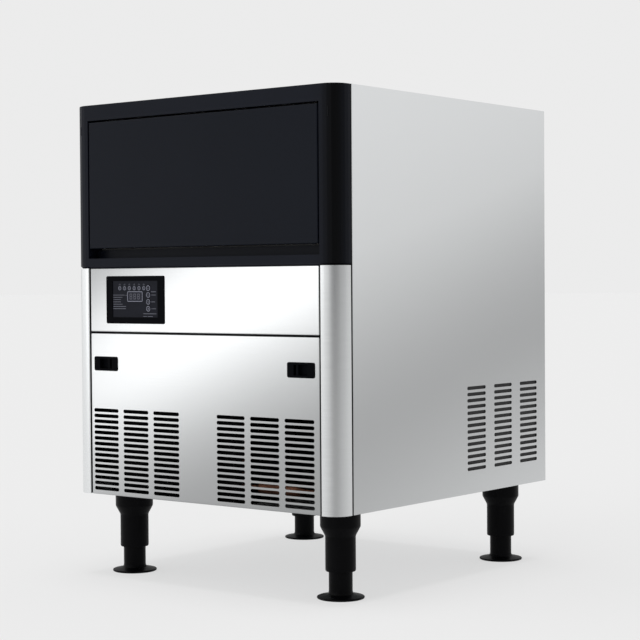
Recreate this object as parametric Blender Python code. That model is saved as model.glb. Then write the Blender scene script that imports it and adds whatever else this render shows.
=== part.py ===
"""Under-counter cube-ice maker: a steel cabinet on four adjustable legs, in metres, +Z up.

The origin is on the floor, under the middle of the cabinet. +X is the machine's right side as
seen from the front, and the front faces -Y. The ice bin with its foam jacket fills the upper
part of the cabinet, the freezing plate hangs inside it, and the compressor, condenser and fan
stand on the base pan below the bin.
"""

import math

import bmesh
import bpy
from mathutils import Matrix, Vector

# Cabinet
BODY_WIDTH = 0.610
BODY_DEPTH = 0.655
BODY_HEIGHT = 0.708
LEG_HEIGHT = 0.150
CORNER_RADIUS = 0.030
SHEET = 0.0015
SEAM = 0.003
FOLD = 0.012
POST_FRONT = 0.0375
POST_SIDE = 0.0365
PANEL_SETBACK = 0.0015
HEAD_HEIGHT = 0.2964
FASCIA_HEIGHT = 0.1122
REAR_INSET = 0.018
PAN_RIM = 0.020

# Fits: CLEAR is left between pieces that touch, CUT_OVER is how far a cut runs past a face
CLEAR = 0.0003
CUT_OVER = 0.002

# Air slots
SLOT_WIDTH = 0.0047
FRONT_SLOT_LENGTH = 0.060
FRONT_SLOT_PITCH = 0.01018
FRONT_SLOT_GAP = 0.0137
FRONT_SLOT_EDGE = 0.0105
FRONT_SLOT_LOWEST = 0.0113
FRONT_SLOT_CLEAR_BAND = 0.069
SIDE_SLOT_LENGTH = 0.0612
SIDE_SLOT_PITCH = 0.01123
SIDE_SLOT_GAP = 0.0288
SIDE_SLOT_REAR = 0.033
SIDE_SLOT_LOWEST = 0.0448
REAR_SLOT_PITCH = 0.016
REAR_SLOT_LENGTH = 0.090
REAR_SLOT_GAP = 0.030
REAR_SLOT_LOWEST = 0.060
SIDE_SLOT_ROWS = 14
REAR_SLOT_ROWS = 7
SIDE_SLOT_COLUMNS = 3
REAR_SLOT_COLUMNS = 2

# Head frame and finger recess
HEAD_WALL = 0.003
HEAD_EDGE = 0.0015
HEAD_CHAMFER = 0.0035
JAMB_WIDTH = 0.038
HEAD_LINTEL = 0.0285
HEAD_SILL = 0.0174
RECESS_HEIGHT = 0.0185
RECESS_DEPTH = 0.026
DOOR_TOP_GAP = 0.0035
TOP_SEAM = 0.001

# Door
DOOR_SHELL = 0.028
DOOR_WALL = 0.003
DOOR_PANEL = 0.003
DOOR_EDGE = 0.0015
DOOR_DISH = 0.010
GRIP_DEPTH = 0.016
GRIP_HEIGHT = 0.018
GRIP_SIDE = 0.030
GASKET_WIDTH = 0.012
GASKET_EDGE = 0.004
GASKET_DROP = 0.001
DISH_MARGIN = 0.012
PANEL_EDGE = 0.002
HINGE_BACK = 0.008
HINGE_DROP = 0.014
PIN_RADIUS = 0.004
PIN_LENGTH = 0.032
PIN_PLAY = 0.0004
BOSS_LENGTH = 0.016
BOSS_WALL = 0.004

# Bin liner, foam and deck
LINER_WALL = 0.003
LINER_SIDE = 0.037
LINER_FRONT = 0.0675
LINER_REAR = 0.0625
LINER_FLOOR = 0.270
THROAT_LIP = 0.016
FLANGE_EDGE = 0.016
FOAM = 0.022
LID_FOAM = 0.020
DECK_SHEET = 0.002
DECK_LAP = 0.017

# Control panel
BEZEL_WIDTH = 0.1425
BEZEL_HEIGHT = 0.0855
BEZEL_LEFT = 0.0415
BEZEL_LIFT = 0.0151
BEZEL_RIM = 0.003
BEZEL_FLANGE = 0.0012
BEZEL_DEPTH = 0.011
BEZEL_CORNER = 0.003
FACE_SIDE = 0.01625
FACE_TOP = 0.009
FACE_BOTTOM = 0.0115
FACE_RECESS = 0.001
FACE_WEB = 0.0025
DISPLAY_WIDTH = 0.0366
DISPLAY_HEIGHT = 0.0174
DISPLAY_LEFT = 0.0526
DISPLAY_TOP = 0.0281
DISPLAY_THICK = 0.0022
BUTTON_RADIUS = 0.0050
BUTTON_PITCH = 0.0122
BUTTON_RIGHT = 0.0385
BUTTON_TOP = 0.0219
BUTTON_PROUD = 0.0007
BUTTON_FLANGE = 0.0007
BUTTON_FLANGE_THICK = 0.0015
BUTTON_COUNT = 4
BOX_DEPTH = 0.030
BOX_MARGIN = 0.0045

# Slide latches of the lower panel
LATCH_WIDTH = 0.058
LATCH_HEIGHT = 0.026
LATCH_EDGE = 0.0095
LATCH_DROP = 0.0419
LATCH_CORNER = 0.0035
LATCH_RIM = 0.002
LATCH_WALL = 0.002
LATCH_FLANGE = 0.0012
LATCH_DEPTH = 0.012
LATCH_FLOOR = 0.0025
LATCH_PIT = 0.020
LATCH_RIDGE = 0.005
LATCH_PLATE = 0.002
LATCH_TRAVEL = 0.004
LATCH_OUTER = 0.0145

# Legs
LEG_SIDE = 0.0641
LEG_FRONT = 0.0863
LEG_REAR = 0.0616
BELL_RADIUS = 0.0345
BELL_HEIGHT = 0.028
CONE_HEIGHT = 0.017
SLEEVE_RADIUS = 0.026
SLEEVE_LOW = 0.046
SLEEVE_LIP = 0.0015
BORE_TOP = 0.010
STEM_RADIUS = 0.02025
STEM_PLAY = 0.0004
STEM_ENGAGED = 0.054
FOOT_RADIUS = 0.0405
FOOT_EDGE = 0.0025
FOOT_THICK = 0.006
FOOT_FILLET = 0.005

# Freezing plate, water curtain and distributor
PLATE_CELL = 0.0255
PLATE_WEB = 0.003
PLATE_DEPTH = 0.022
PLATE_BACK = 0.002
PLATE_TO_REAR = 0.085
PLATE_BESIDE = 0.100
PLATE_ROWS = 5
CHEEK_THICK = 0.005
CHEEK_FRONT = 0.034
CHEEK_RISE = 0.014
CHEEK_DROP = 0.010
COIL_RADIUS = 0.004
COIL_MARGIN = 0.0245
COIL_END_MARGIN = 0.0145
COIL_TAIL = 0.030
COIL_SHIFT = 0.035
TUBE_PLAY = 0.001
COIL_RUNS = 6
TUBE_BEND_STEPS = 3
CURTAIN_THICK = 0.0025
CURTAIN_PIN = 0.003
CURTAIN_PIN_IN = 0.004
CURTAIN_SIDE = 0.003
CURTAIN_KICK = 0.012
CURTAIN_AHEAD = 0.024
CURTAIN_DOWN = 0.008
CURTAIN_HANG = 0.022
PIVOT_PLAY = 0.0004
SPRAY_RADIUS = 0.008
SPRAY_WALL = 0.002
SPRAY_OVERHANG = 0.012
SPRAY_TOP_GAP = 0.003

# Water trough, pump, float valve and hose
TROUGH_WALL = 0.0025
TROUGH_HEIGHT = 0.040
TROUGH_BEHIND = 0.005
TROUGH_GAP = 0.004
PUMP_RADIUS = 0.021
PUMP_CUP = 0.020
PUMP_CUP_WALL = 0.003
PUMP_NECK_RADIUS = 0.009
PUMP_NECK = 0.026
PUMP_MOTOR = 0.045
PUMP_SIDE = 0.030
PUMP_GAP = 0.004
PUMP_SHAFT = 0.003
PUMP_PLAY = 0.0006
IMPELLER_RADIUS = 0.015
IMPELLER_HEIGHT = 0.010
IMPELLER_VANE = 0.002
IMPELLER_VANES = 5
PUMP_INLET = 0.006
OUTLET_RADIUS = 0.006
OUTLET_REACH = 0.009
HOSE_RADIUS = 0.0075
FLOAT_BLOCK = 0.026
FLOAT_BLOCK_HEIGHT = 0.030
FLOAT_LIFT = 0.010
FLOAT_SLOT = 0.012
FLOAT_ARM = 0.052
FLOAT_ARM_THICK = 0.004
FLOAT_ARM_WIDTH = 0.008
FLOAT_SIZE = 0.022
FLOAT_PIN = 0.0025
FLOAT_STEM = 0.003
FLOAT_STEM_DROP = 0.022
FLOAT_DROP = 0.044

# Refrigeration
CONDENSER_WIDTH = 0.330
CONDENSER_HEIGHT = 0.205
CONDENSER_DEPTH = 0.045
CONDENSER_SETBACK = 0.020
CONDENSER_SIDE = 0.220
FIN_PITCH = 0.015
FIN_GAP = 0.009
FIN_CUT = 0.012
CONDENSER_FRAME = 0.010
STUB_RADIUS = 0.005
STUB_LENGTH = 0.012
STUB_END = 0.030
SHROUD_DEPTH = 0.030
SHROUD_WALL = 0.002
SHROUD_COLLAR = 0.016
FAN_RADIUS = 0.085
FAN_TIP = 0.005
FAN_HUB = 0.022
FAN_CHORD = 0.044
FAN_BLADE = 0.0025
FAN_BLADES = 5
FAN_PITCH_DEG = 28
FAN_SHAFT = 0.004
MOTOR_RADIUS = 0.030
MOTOR_LENGTH = 0.045
MOTOR_GAP = 0.008
MOTOR_ARM = 0.010
MOTOR_REACH = 0.012
MOTOR_ARM_THICK = 0.003
COMPRESSOR_RADIUS = 0.075
COMPRESSOR_HEIGHT = 0.165
COMPRESSOR_DOME = 0.045
COMPRESSOR_SEAM = 0.003
COMPRESSOR_FILLET = 0.010
COMPRESSOR_SPLIT = 0.060
COMPRESSOR_PLATE = 0.003
COMPRESSOR_FOOT = 0.016
COMPRESSOR_FOOT_RADIUS = 0.011
COMPRESSOR_SIDE = 0.165
COMPRESSOR_REAR = 0.150
DRIER_RADIUS = 0.011
DRIER_LENGTH = 0.110
DRIER_NECK = 0.012
SUCTION_LIFT = 0.090
SUCTION_RISE = 0.060
LINE_RADIUS = 0.00475
LINE_BEND = 0.022
LINE_DROP = 0.022
LINE_SIDE = 0.060

# Fittings on the rear
DRAIN_RADIUS = 0.011
DRAIN_BORE = 0.0085
DRAIN_FLANGE = 0.020
DRAIN_FLANGE_THICK = 0.002
DRAIN_SIDE = 0.155
DRAIN_REAR = 0.170
DRAIN_BELOW_DECK = 0.026
FITTING_RECESS = 0.004
VALVE_RADIUS = 0.011
VALVE_BORE = 0.008
VALVE_BORE_DEPTH = 0.016
VALVE_NUT = 0.005
VALVE_NUT_THICK = 0.005
VALVE_BODY = 0.034
VALVE_SIDE = 0.075
VALVE_LIFT = 0.150
VALVE_COIL_RADIUS = 0.014
VALVE_COIL_HEIGHT = 0.034
INLET_WIDTH = 0.032
INLET_HEIGHT = 0.026
INLET_DEPTH = 0.024
INLET_RIM = 0.004
INLET_SIDE = 0.070
INLET_LIFT = 0.070
INLET_PIN = 0.002
INLET_FLANGE = 0.002

# Shares and counts that no length sets
CORNER_STEPS = 6
EDGE_STEPS = 2
ROUND_SIDES = 20
SMALL_SIDES = 12
SLOT_END_STEPS = 2
VANE_ROOT_SHARE = 0.55
DOME_STEPS = 4
STRAIGHT_DEG = 89
SHARP_DEG = 35
CORNER_EDGE_DEG = 60
BEVEL_PROFILE_SHARE = 0.5

# Places worked out from the sizes above
side_x = BODY_WIDTH / 2
front_y = -BODY_DEPTH / 2
rear_y = BODY_DEPTH / 2
base_z = LEG_HEIGHT
top_z = LEG_HEIGHT + BODY_HEIGHT
inner_x = side_x - SHEET - CLEAR
sheet_front_y = front_y + PANEL_SETBACK
panel_x = side_x - POST_FRONT - SEAM
panel_rear_y = sheet_front_y + FOLD
head_z = top_z - HEAD_HEIGHT
fascia_top_z = head_z - SEAM
fascia_z = fascia_top_z - FASCIA_HEIGHT
lower_top_z = fascia_z - SEAM
side_front_y = front_y + POST_SIDE + SEAM
tongue_x = side_x - FOLD - CLEAR
tongue_y = max(panel_rear_y, front_y + FOLD) + CLEAR
inner_front_y = side_front_y + SHEET + CLEAR
inner_rear_y = rear_y - SHEET - CLEAR
rear_panel_y = rear_y - REAR_INSET - SHEET
pan_top_z = base_z + SHEET

opening_x = side_x - JAMB_WIDTH
door_x = opening_x - SEAM
recess_z = head_z + HEAD_SILL
door_z = recess_z + RECESS_HEIGHT
opening_top_z = top_z - HEAD_LINTEL
door_top_z = opening_top_z - DOOR_TOP_GAP
sill_z = door_z - SEAM
head_rear_y = front_y + POST_SIDE
hinge_y = front_y + HINGE_BACK
hinge_z = door_top_z - HINGE_DROP
shell_rear_y = front_y + DOOR_SHELL
door_panel_y = shell_rear_y + CLEAR
gasket_y = door_panel_y + DOOR_PANEL + CLEAR

liner_x = side_x - LINER_SIDE
liner_front_y = front_y + LINER_FRONT
liner_rear_y = rear_y - LINER_REAR
liner_z = base_z + LINER_FLOOR
liner_top_z = top_z - SHEET - LID_FOAM - 2 * CLEAR
flange_y = head_rear_y + CLEAR
flange_rear_y = flange_y + LINER_WALL
throat_x = door_x - THROAT_LIP
throat_z = door_z + THROAT_LIP
throat_top_z = hinge_z - THROAT_LIP
foam_x = liner_x + CLEAR + FOAM
foam_front_y = liner_front_y - CLEAR - FOAM
foam_rear_y = liner_rear_y + CLEAR + FOAM
foam_z = liner_z - CLEAR - FOAM
deck_top_z = foam_z - CLEAR
deck_z = deck_top_z - DECK_SHEET
bin_x = liner_x - LINER_WALL
bin_rear_y = liner_rear_y - LINER_WALL
bin_floor_z = liner_z + LINER_WALL
gap_y = (foam_rear_y + rear_panel_y) / 2


# Colours, with roughness and metallic value
FINISHES = {
    "brushed_steel": ((0.74, 0.76, 0.77), 0.30, 1.0),
    "dull_steel": ((0.58, 0.60, 0.61), 0.45, 1.0),
    "head_plastic": ((0.020, 0.021, 0.028), 0.38, 0.0),
    "door_plastic": ((0.018, 0.019, 0.026), 0.34, 0.0),
    "black_plastic": ((0.012, 0.012, 0.014), 0.42, 0.0),
    "display_glass": ((0.020, 0.022, 0.035), 0.10, 0.0),
    "white_plastic": ((0.86, 0.87, 0.87), 0.35, 0.0),
    "grey_plastic": ((0.45, 0.47, 0.49), 0.45, 0.0),
    "blue_plastic": ((0.10, 0.26, 0.48), 0.40, 0.0),
    "foam": ((0.82, 0.74, 0.52), 0.95, 0.0),
    "seal_rubber": ((0.05, 0.05, 0.05), 0.80, 0.0),
    "leg_plastic": ((0.010, 0.010, 0.012), 0.45, 0.0),
    "tinned_copper": ((0.80, 0.78, 0.74), 0.35, 1.0),
    "copper": ((0.80, 0.42, 0.27), 0.30, 1.0),
    "aluminium": ((0.80, 0.81, 0.82), 0.40, 1.0),
    "black_enamel": ((0.015, 0.015, 0.016), 0.35, 0.0),
    "clear_hose": ((0.78, 0.82, 0.84), 0.25, 0.0),
}


def finish(name):
    """The named material, made once."""
    made = bpy.data.materials.get(name)
    if made:
        return made
    colour, roughness, metallic = FINISHES[name]
    made = bpy.data.materials.new(name)
    made.use_nodes = True
    shader = made.node_tree.nodes["Principled BSDF"]
    shader.inputs["Base Color"].default_value = (*colour, 1)
    shader.inputs["Roughness"].default_value = roughness
    shader.inputs["Metallic"].default_value = metallic
    made.diffuse_color = (*colour, 1)
    return made


def clear_scene():
    for item in list(bpy.data.objects):
        bpy.data.objects.remove(item, do_unlink=True)
    for item in list(bpy.data.materials):
        bpy.data.materials.remove(item)


# Places in space from two flat coordinates and one along an axis
SPOTS = {
    "X": lambda u, v, w: Vector((w, u, v)),
    "Y": lambda u, v, w: Vector((u, w, v)),
    "Z": lambda u, v, w: Vector((u, v, w)),
}


def rectangle(u0, u1, v0, v1):
    return [(u0, v0), (u1, v0), (u1, v1), (u0, v1)]


def rounded_rectangle(u0, u1, v0, v1, radius, steps=CORNER_STEPS // 2):
    """A rectangle with four round corners, anticlockwise."""
    radius = min(radius, (u1 - u0) / 2, (v1 - v0) / 2)
    corners = [(u1, v0, -90), (u1, v1, 0), (u0, v1, 90), (u0, v0, 180)]
    points = []
    for u, v, start in corners:
        centre_u = u - radius if u == u1 else u + radius
        centre_v = v - radius if v == v1 else v + radius
        for step in range(steps + 1):
            turn = math.radians(start + 90 * step / steps)
            points.append((centre_u + radius * math.cos(turn), centre_v + radius * math.sin(turn)))
    return points


def slot_outline(centre_u, centre_v, length, width):
    """A slot with round ends, lying along u."""
    points = []
    for side in (1, -1):
        end_u = centre_u + side * (length - width) / 2
        for step in range(SLOT_END_STEPS + 1):
            turn = math.radians(-90 + 180 * step / SLOT_END_STEPS)
            points.append(
                (end_u + side * width / 2 * math.cos(turn), centre_v + side * width / 2 * math.sin(turn))
            )
    return points


def circle(centre_u, centre_v, radius, sides=ROUND_SIDES):
    turns = [2 * math.pi * step / sides for step in range(sides)]
    return [(centre_u + radius * math.cos(a), centre_v + radius * math.sin(a)) for a in turns]


def strip(path, thickness):
    """The outline of a bent strip: the path, and the path moved to its left by the thickness."""
    moved = []
    for index, point in enumerate(path):
        here = Vector(point)
        before = Vector(path[index - 1]) if index else None
        after = Vector(path[index + 1]) if index + 1 < len(path) else None
        sides = [(b - a).normalized() for a, b in ((before, here), (here, after)) if a and b]
        normals = [Vector((-side.y, side.x)) for side in sides]
        mitre = sum(normals, Vector((0, 0))).normalized()
        moved.append(tuple(here + mitre * (thickness / mitre.dot(normals[0]))))
    return list(path) + moved[::-1]


def add_loop(bm, outline, axis, level):
    verts = [bm.verts.new(SPOTS[axis](u, v, level)) for u, v in outline]
    return [bm.edges.new((a, b)) for a, b in zip(verts, verts[1:] + verts[:1])]


def prism(outline, axis, low, high, holes=()):
    """A flat outline with holes, extruded along an axis: one closed body."""
    bm = bmesh.new()
    edges = []
    for loop in (outline, *holes):
        edges += add_loop(bm, loop, axis, low)
    bmesh.ops.triangle_fill(bm, use_beauty=True, use_dissolve=not holes, edges=edges)
    grow(bm, bm.faces[:], SPOTS[axis](0, 0, high - low))
    return bm


def grow(bm, faces, way):
    """Extrude faces along a vector and return the moved faces."""
    made = bmesh.ops.extrude_face_region(bm, geom=faces)["geom"]
    verts = [item for item in made if isinstance(item, bmesh.types.BMVert)]
    bmesh.ops.translate(bm, vec=way, verts=verts)
    outward(bm)
    return [item for item in made if isinstance(item, bmesh.types.BMFace)]


def outward(bm):
    """Turn the faces of a closed shape outwards."""
    bmesh.ops.recalc_face_normals(bm, faces=bm.faces[:])
    if bm.calc_volume(signed=True) < 0:
        bmesh.ops.reverse_faces(bm, faces=bm.faces[:])


def box(x0, x1, y0, y1, z0, z1):
    return prism(rectangle(x0, x1, y0, y1), "Z", z0, z1)


def boxes(*bounds):
    """Several boxes that don't touch, as one tool."""
    bm = bmesh.new()
    for x0, x1, y0, y1, z0, z1 in bounds:
        add_loop(bm, rectangle(x0, x1, y0, y1), "Z", z0)
        bm.verts.ensure_lookup_table()
        face = bm.faces.new(bm.verts[-4:])
        grow(bm, [face], Vector((0, 0, z1 - z0)))
    return bm


def folded_sheet(u, v, axis, face, back, holes=(), folds="uUvV", sheet=SHEET, depth=FOLD):
    """A rectangular sheet with holes, and its edges folded back: u and v are low sides, U and V high.

    face is the outer face's place along the axis, and back is 1 or -1, the way the sheet goes from it.
    """
    inner_u = (u[0] + sheet * ("u" in folds), u[1] - sheet * ("U" in folds))
    inner_v = (v[0] + sheet * ("v" in folds), v[1] - sheet * ("V" in folds))
    grid_u = sorted({u[0], *inner_u, u[1]})
    grid_v = sorted({v[0], *inner_v, v[1]})
    bm = bmesh.new()
    corner = {(a, b): bm.verts.new(SPOTS[axis](a, b, face)) for a in grid_u for b in grid_v}
    for a, next_a in zip(grid_u, grid_u[1:]):
        for b, next_b in zip(grid_v, grid_v[1:]):
            ring = [corner[a, b], corner[next_a, b], corner[next_a, next_b], corner[a, next_b]]
            if holes and a == inner_u[0] and b == inner_v[0]:
                edges = [
                    bm.edges.get((p, q)) or bm.edges.new((p, q)) for p, q in zip(ring, ring[1:] + ring[:1])
                ]
                for hole in holes:
                    edges += add_loop(bm, hole, axis, face)
                bmesh.ops.triangle_fill(bm, use_beauty=True, use_dissolve=False, edges=edges)
            else:
                bm.faces.new(ring)
    moved = grow(bm, bm.faces[:], SPOTS[axis](0, 0, back * sheet))
    u_at, v_at = {"X": (1, 2), "Y": (0, 2), "Z": (0, 1)}[axis]
    rim = []
    for item in moved:
        centre = item.calc_center_median()
        in_u = inner_u[0] < centre[u_at] < inner_u[1]
        in_v = inner_v[0] < centre[v_at] < inner_v[1]
        if not (in_u and in_v):
            rim.append(item)
    if rim:
        made = bmesh.ops.extrude_face_region(bm, geom=rim)["geom"]
        verts = [item for item in made if isinstance(item, bmesh.types.BMVert)]
        bmesh.ops.translate(bm, vec=SPOTS[axis](0, 0, back * (depth - sheet)), verts=verts)
        bmesh.ops.delete(bm, geom=[item for item in rim if item.is_valid], context="FACES")
    outward(bm)
    return bm


def turned(profile, centre=(0, 0, 0), axis="Z", sides=ROUND_SIDES, closed=False):
    """A profile of (radius, height) points turned about an axis through centre.

    An open profile starts and ends on the axis, and a closed one is a ring's section.
    """
    bm = bmesh.new()
    verts = [bm.verts.new(Vector((radius, 0, height))) for radius, height in profile]
    edges = [bm.edges.new(pair) for pair in zip(verts, verts[1:])]
    if closed:
        edges.append(bm.edges.new((verts[-1], verts[0])))
    bmesh.ops.spin(
        bm, geom=verts + edges, cent=(0, 0, 0), axis=(0, 0, 1), steps=sides, angle=2 * math.pi
    )
    bmesh.ops.remove_doubles(bm, verts=bm.verts[:], dist=CLEAR / 100)
    flat = [edge for edge in bm.edges if not edge.link_faces]
    bmesh.ops.delete(bm, geom=flat, context="EDGES")
    for vert in bm.verts:
        vert.co = SPOTS[axis](vert.co.x, vert.co.y, vert.co.z) + Vector(centre)
    outward(bm)
    return bm


def rod(centre, radius, low, high, axis, sides=SMALL_SIDES):
    """A round bar along an axis, from low to high on it."""
    u_at, v_at = {"X": (1, 2), "Y": (0, 2), "Z": (0, 1)}[axis]
    return prism(circle(centre[u_at], centre[v_at], radius, sides), axis, low, high)


def pivot(name, place):
    """An empty on a joint's axis, which carries the pieces that move together."""
    empty = bpy.data.objects.new(name, None)
    empty.location = place
    bpy.context.scene.collection.objects.link(empty)
    return empty


def node(name, bm, material, origin=(0, 0, 0), parent=None, smooth=False):
    """One sub-part: its mesh is moved so that its object stands at the origin given."""
    bmesh.ops.translate(bm, vec=-Vector(origin), verts=bm.verts[:])
    mesh = bpy.data.meshes.new(name)
    bm.to_mesh(mesh)
    bm.free()
    if smooth:
        mesh.shade_smooth()
        mesh.set_sharp_from_angle(angle=math.radians(SHARP_DEG))
    made = bpy.data.objects.new(name, mesh)
    mesh.materials.append(finish(material))
    bpy.context.scene.collection.objects.link(made)
    place(made, origin, parent)
    return made


def place(made, origin, parent):
    made.location = Vector(origin)
    if parent:
        made.parent = parent
        made.location = Vector(origin) - parent.location


def boolean(made, operation, bm):
    """Cut or join a tool with a sub-part; the tool stays hidden beside it."""
    index = len(made.modifiers) + 1
    name = f"{made.name}_{operation.lower()}_{index}"
    mesh = bpy.data.meshes.new(name)
    bm.to_mesh(mesh)
    bm.free()
    tool = bpy.data.objects.new(name, mesh)
    tool.hide_render = True
    tool.display_type = "WIRE"
    bpy.context.scene.collection.objects.link(tool)
    tool.hide_set(True)
    modifier = made.modifiers.new(name, "BOOLEAN")
    modifier.operation = operation
    modifier.object = tool
    modifier.solver = "EXACT"


def cut(made, *tools):
    for bm in tools:
        boolean(made, "DIFFERENCE", bm)


def join(made, *tools):
    for bm in tools:
        boolean(made, "UNION", bm)


def bent_path(corners, bend, steps=TUBE_BEND_STEPS):
    """Straight runs between corners, with each corner rounded to the bend radius."""
    corners = [Vector(corner) for corner in corners]
    points = [corners[0]]
    for before, here, after in zip(corners, corners[1:], corners[2:]):
        inward = (before - here).normalized()
        outward = (after - here).normalized()
        half = inward.angle(outward) / 2
        if half > math.radians(STRAIGHT_DEG):
            points.append(here)
            continue
        reach = min(bend / math.tan(half), (before - here).length / 2, (after - here).length / 2)
        radius = reach * math.tan(half)
        centre = here + (inward + outward).normalized() * (radius / math.sin(half))
        start = here + inward * reach - centre
        end = here + outward * reach - centre
        sweep = start.angle(end)
        for step in range(steps + 1):
            share = step / steps
            spot = (start * math.sin((1 - share) * sweep) + end * math.sin(share * sweep)) / math.sin(sweep)
            points.append(centre + spot)
    points.append(corners[-1])
    return points


def pipe(name, points, radius, material, resolution=1):
    """A round tube along a path of points, with closed ends."""
    curve = bpy.data.curves.new(name, "CURVE")
    curve.dimensions = "3D"
    curve.bevel_depth = radius
    curve.bevel_resolution = resolution
    curve.use_fill_caps = True
    spline = curve.splines.new("POLY")
    spline.points.add(len(points) - 1)
    for spot, point in zip(spline.points, points):
        spot.co = (*(Vector(point) - Vector(points[0])), 1)
    spline.use_smooth = True
    made = bpy.data.objects.new(name, curve)
    made.location = points[0]
    curve.materials.append(finish(material))
    bpy.context.scene.collection.objects.link(made)
    return made


def mirrored(outline, side):
    """A plan outline moved to the side wanted: 1 keeps it, -1 mirrors it across the machine."""
    return [(side * u, v) for u, v in outline]


def span(a, b):
    """Two places in rising order."""
    return (min(a, b), max(a, b))


def slot_field(columns, rows, length):
    """Slots with their middles at each column's and each row's place."""
    return [slot_outline(u, v, length, SLOT_WIDTH) for u in columns for v in rows]


def rows_from(lowest, pitch, count):
    return [lowest + row * pitch for row in range(count)]


# Cabinet


def side_panel(side):
    step = SIDE_SLOT_LENGTH + SIDE_SLOT_GAP
    first = rear_y - SIDE_SLOT_REAR - SIDE_SLOT_LENGTH / 2
    columns = [first - column * step for column in range(SIDE_SLOT_COLUMNS)]
    rows = rows_from(base_z + SIDE_SLOT_LOWEST, SIDE_SLOT_PITCH, SIDE_SLOT_ROWS)
    holes = slot_field(columns, rows, SIDE_SLOT_LENGTH)
    sheet = folded_sheet(
        (side_front_y, rear_y), (base_z, top_z), "X", side * side_x, -side, holes, folds="uU"
    )
    node(("right" if side > 0 else "left") + "_side_panel", sheet, "brushed_steel")


def front_post(side):
    """The rounded corner post below the head, with both edges folded inwards."""
    front_x = side_x - POST_FRONT
    path = [(front_x, front_y + FOLD), (front_x, front_y)]
    for step in range(CORNER_STEPS + 1):
        turn = math.radians(-90 + 90 * step / CORNER_STEPS)
        path.append(
            (
                side_x - CORNER_RADIUS + CORNER_RADIUS * math.cos(turn),
                front_y + CORNER_RADIUS + CORNER_RADIUS * math.sin(turn),
            )
        )
    path += [(side_x, head_rear_y), (side_x - FOLD, head_rear_y)]
    outline = mirrored(strip(path, SHEET), side)
    name = ("right" if side > 0 else "left") + "_front_post"
    node(name, prism(outline, "Z", base_z, head_z - SEAM), "brushed_steel", smooth=True)


def lower_front_panel():
    step = FRONT_SLOT_LENGTH + FRONT_SLOT_GAP
    first = panel_x - FRONT_SLOT_EDGE - FRONT_SLOT_LENGTH / 2
    count = int((panel_x - FRONT_SLOT_EDGE) / step)
    columns = [side * (first - column * step) for side in (-1, 1) for column in range(count)]
    field = latch_z() - FRONT_SLOT_CLEAR_BAND - base_z - FRONT_SLOT_LOWEST
    rows = rows_from(base_z + FRONT_SLOT_LOWEST, FRONT_SLOT_PITCH, int(field / FRONT_SLOT_PITCH) + 1)
    holes = slot_field(columns, rows, FRONT_SLOT_LENGTH)
    hole_z = (latch_z() + LATCH_RIM - CLEAR, latch_z() + LATCH_HEIGHT - LATCH_RIM + CLEAR)
    for side in (-1, 1):
        u = span(side * (latch_outer_x - LATCH_RIM + CLEAR), side * (latch_inner_x + LATCH_RIM - CLEAR))
        holes.append(rectangle(*u, *hole_z))
    sheet = folded_sheet(
        (-panel_x, panel_x), (base_z, lower_top_z), "Y", sheet_front_y, 1, holes
    )
    node("lower_front_panel", sheet, "brushed_steel")


def control_fascia():
    hole = rectangle(
        bezel_x + BEZEL_RIM - CLEAR,
        bezel_x + BEZEL_WIDTH - BEZEL_RIM + CLEAR,
        bezel_z + BEZEL_RIM - CLEAR,
        bezel_z + BEZEL_HEIGHT - BEZEL_RIM + CLEAR,
    )
    sheet = folded_sheet(
        (-panel_x, panel_x), (fascia_z, fascia_top_z), "Y", sheet_front_y, 1, [hole]
    )
    node("control_fascia", sheet, "brushed_steel")


def base_pan():
    """The floor of the machine space, with a tongue that carries the posts and the lower panel."""
    sheet = folded_sheet(
        (-inner_x, inner_x), (inner_front_y, inner_rear_y), "Z", base_z, 1, folds="uUV", depth=PAN_RIM
    )
    pan = node("base_pan", sheet, "dull_steel")
    join(pan, box(-tongue_x, tongue_x, tongue_y, inner_front_y + SHEET, base_z, pan_top_z))


def machine_deck():
    """The shelf under the foam, with a dark upstand behind the gap between the two front panels."""
    sheet = folded_sheet(
        (-inner_x, inner_x),
        (inner_front_y, foam_rear_y),
        "Z",
        deck_top_z,
        -1,
        folds="uUV",
        sheet=DECK_SHEET,
    )
    deck = node("machine_deck", sheet, "black_enamel")
    join(
        deck,
        box(-tongue_x, tongue_x, tongue_y, inner_front_y + DECK_SHEET, deck_z, deck_top_z),
        box(-tongue_x, tongue_x, tongue_y, tongue_y + DECK_SHEET, deck_z, fascia_z + DECK_LAP),
    )
    drain = (drain_x, drain_y, 0)
    cut(deck, rod(drain, DRAIN_RADIUS + TUBE_PLAY, deck_z - CUT_OVER, deck_top_z + CUT_OVER, "Z"))


def top_panel():
    """The lid between the side panels, with a tongue between their front folds."""
    sheet = folded_sheet(
        (-inner_x, inner_x), (inner_front_y, inner_rear_y), "Z", top_z, -1, folds="uUV"
    )
    lid = node("top_panel", sheet, "brushed_steel")
    front = head_rear_y + TOP_SEAM
    join(
        lid,
        box(-tongue_x, tongue_x, front, inner_front_y + SHEET, top_z - SHEET, top_z),
        box(-tongue_x, tongue_x, front, front + SHEET, top_z - FOLD, top_z),
    )


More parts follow.
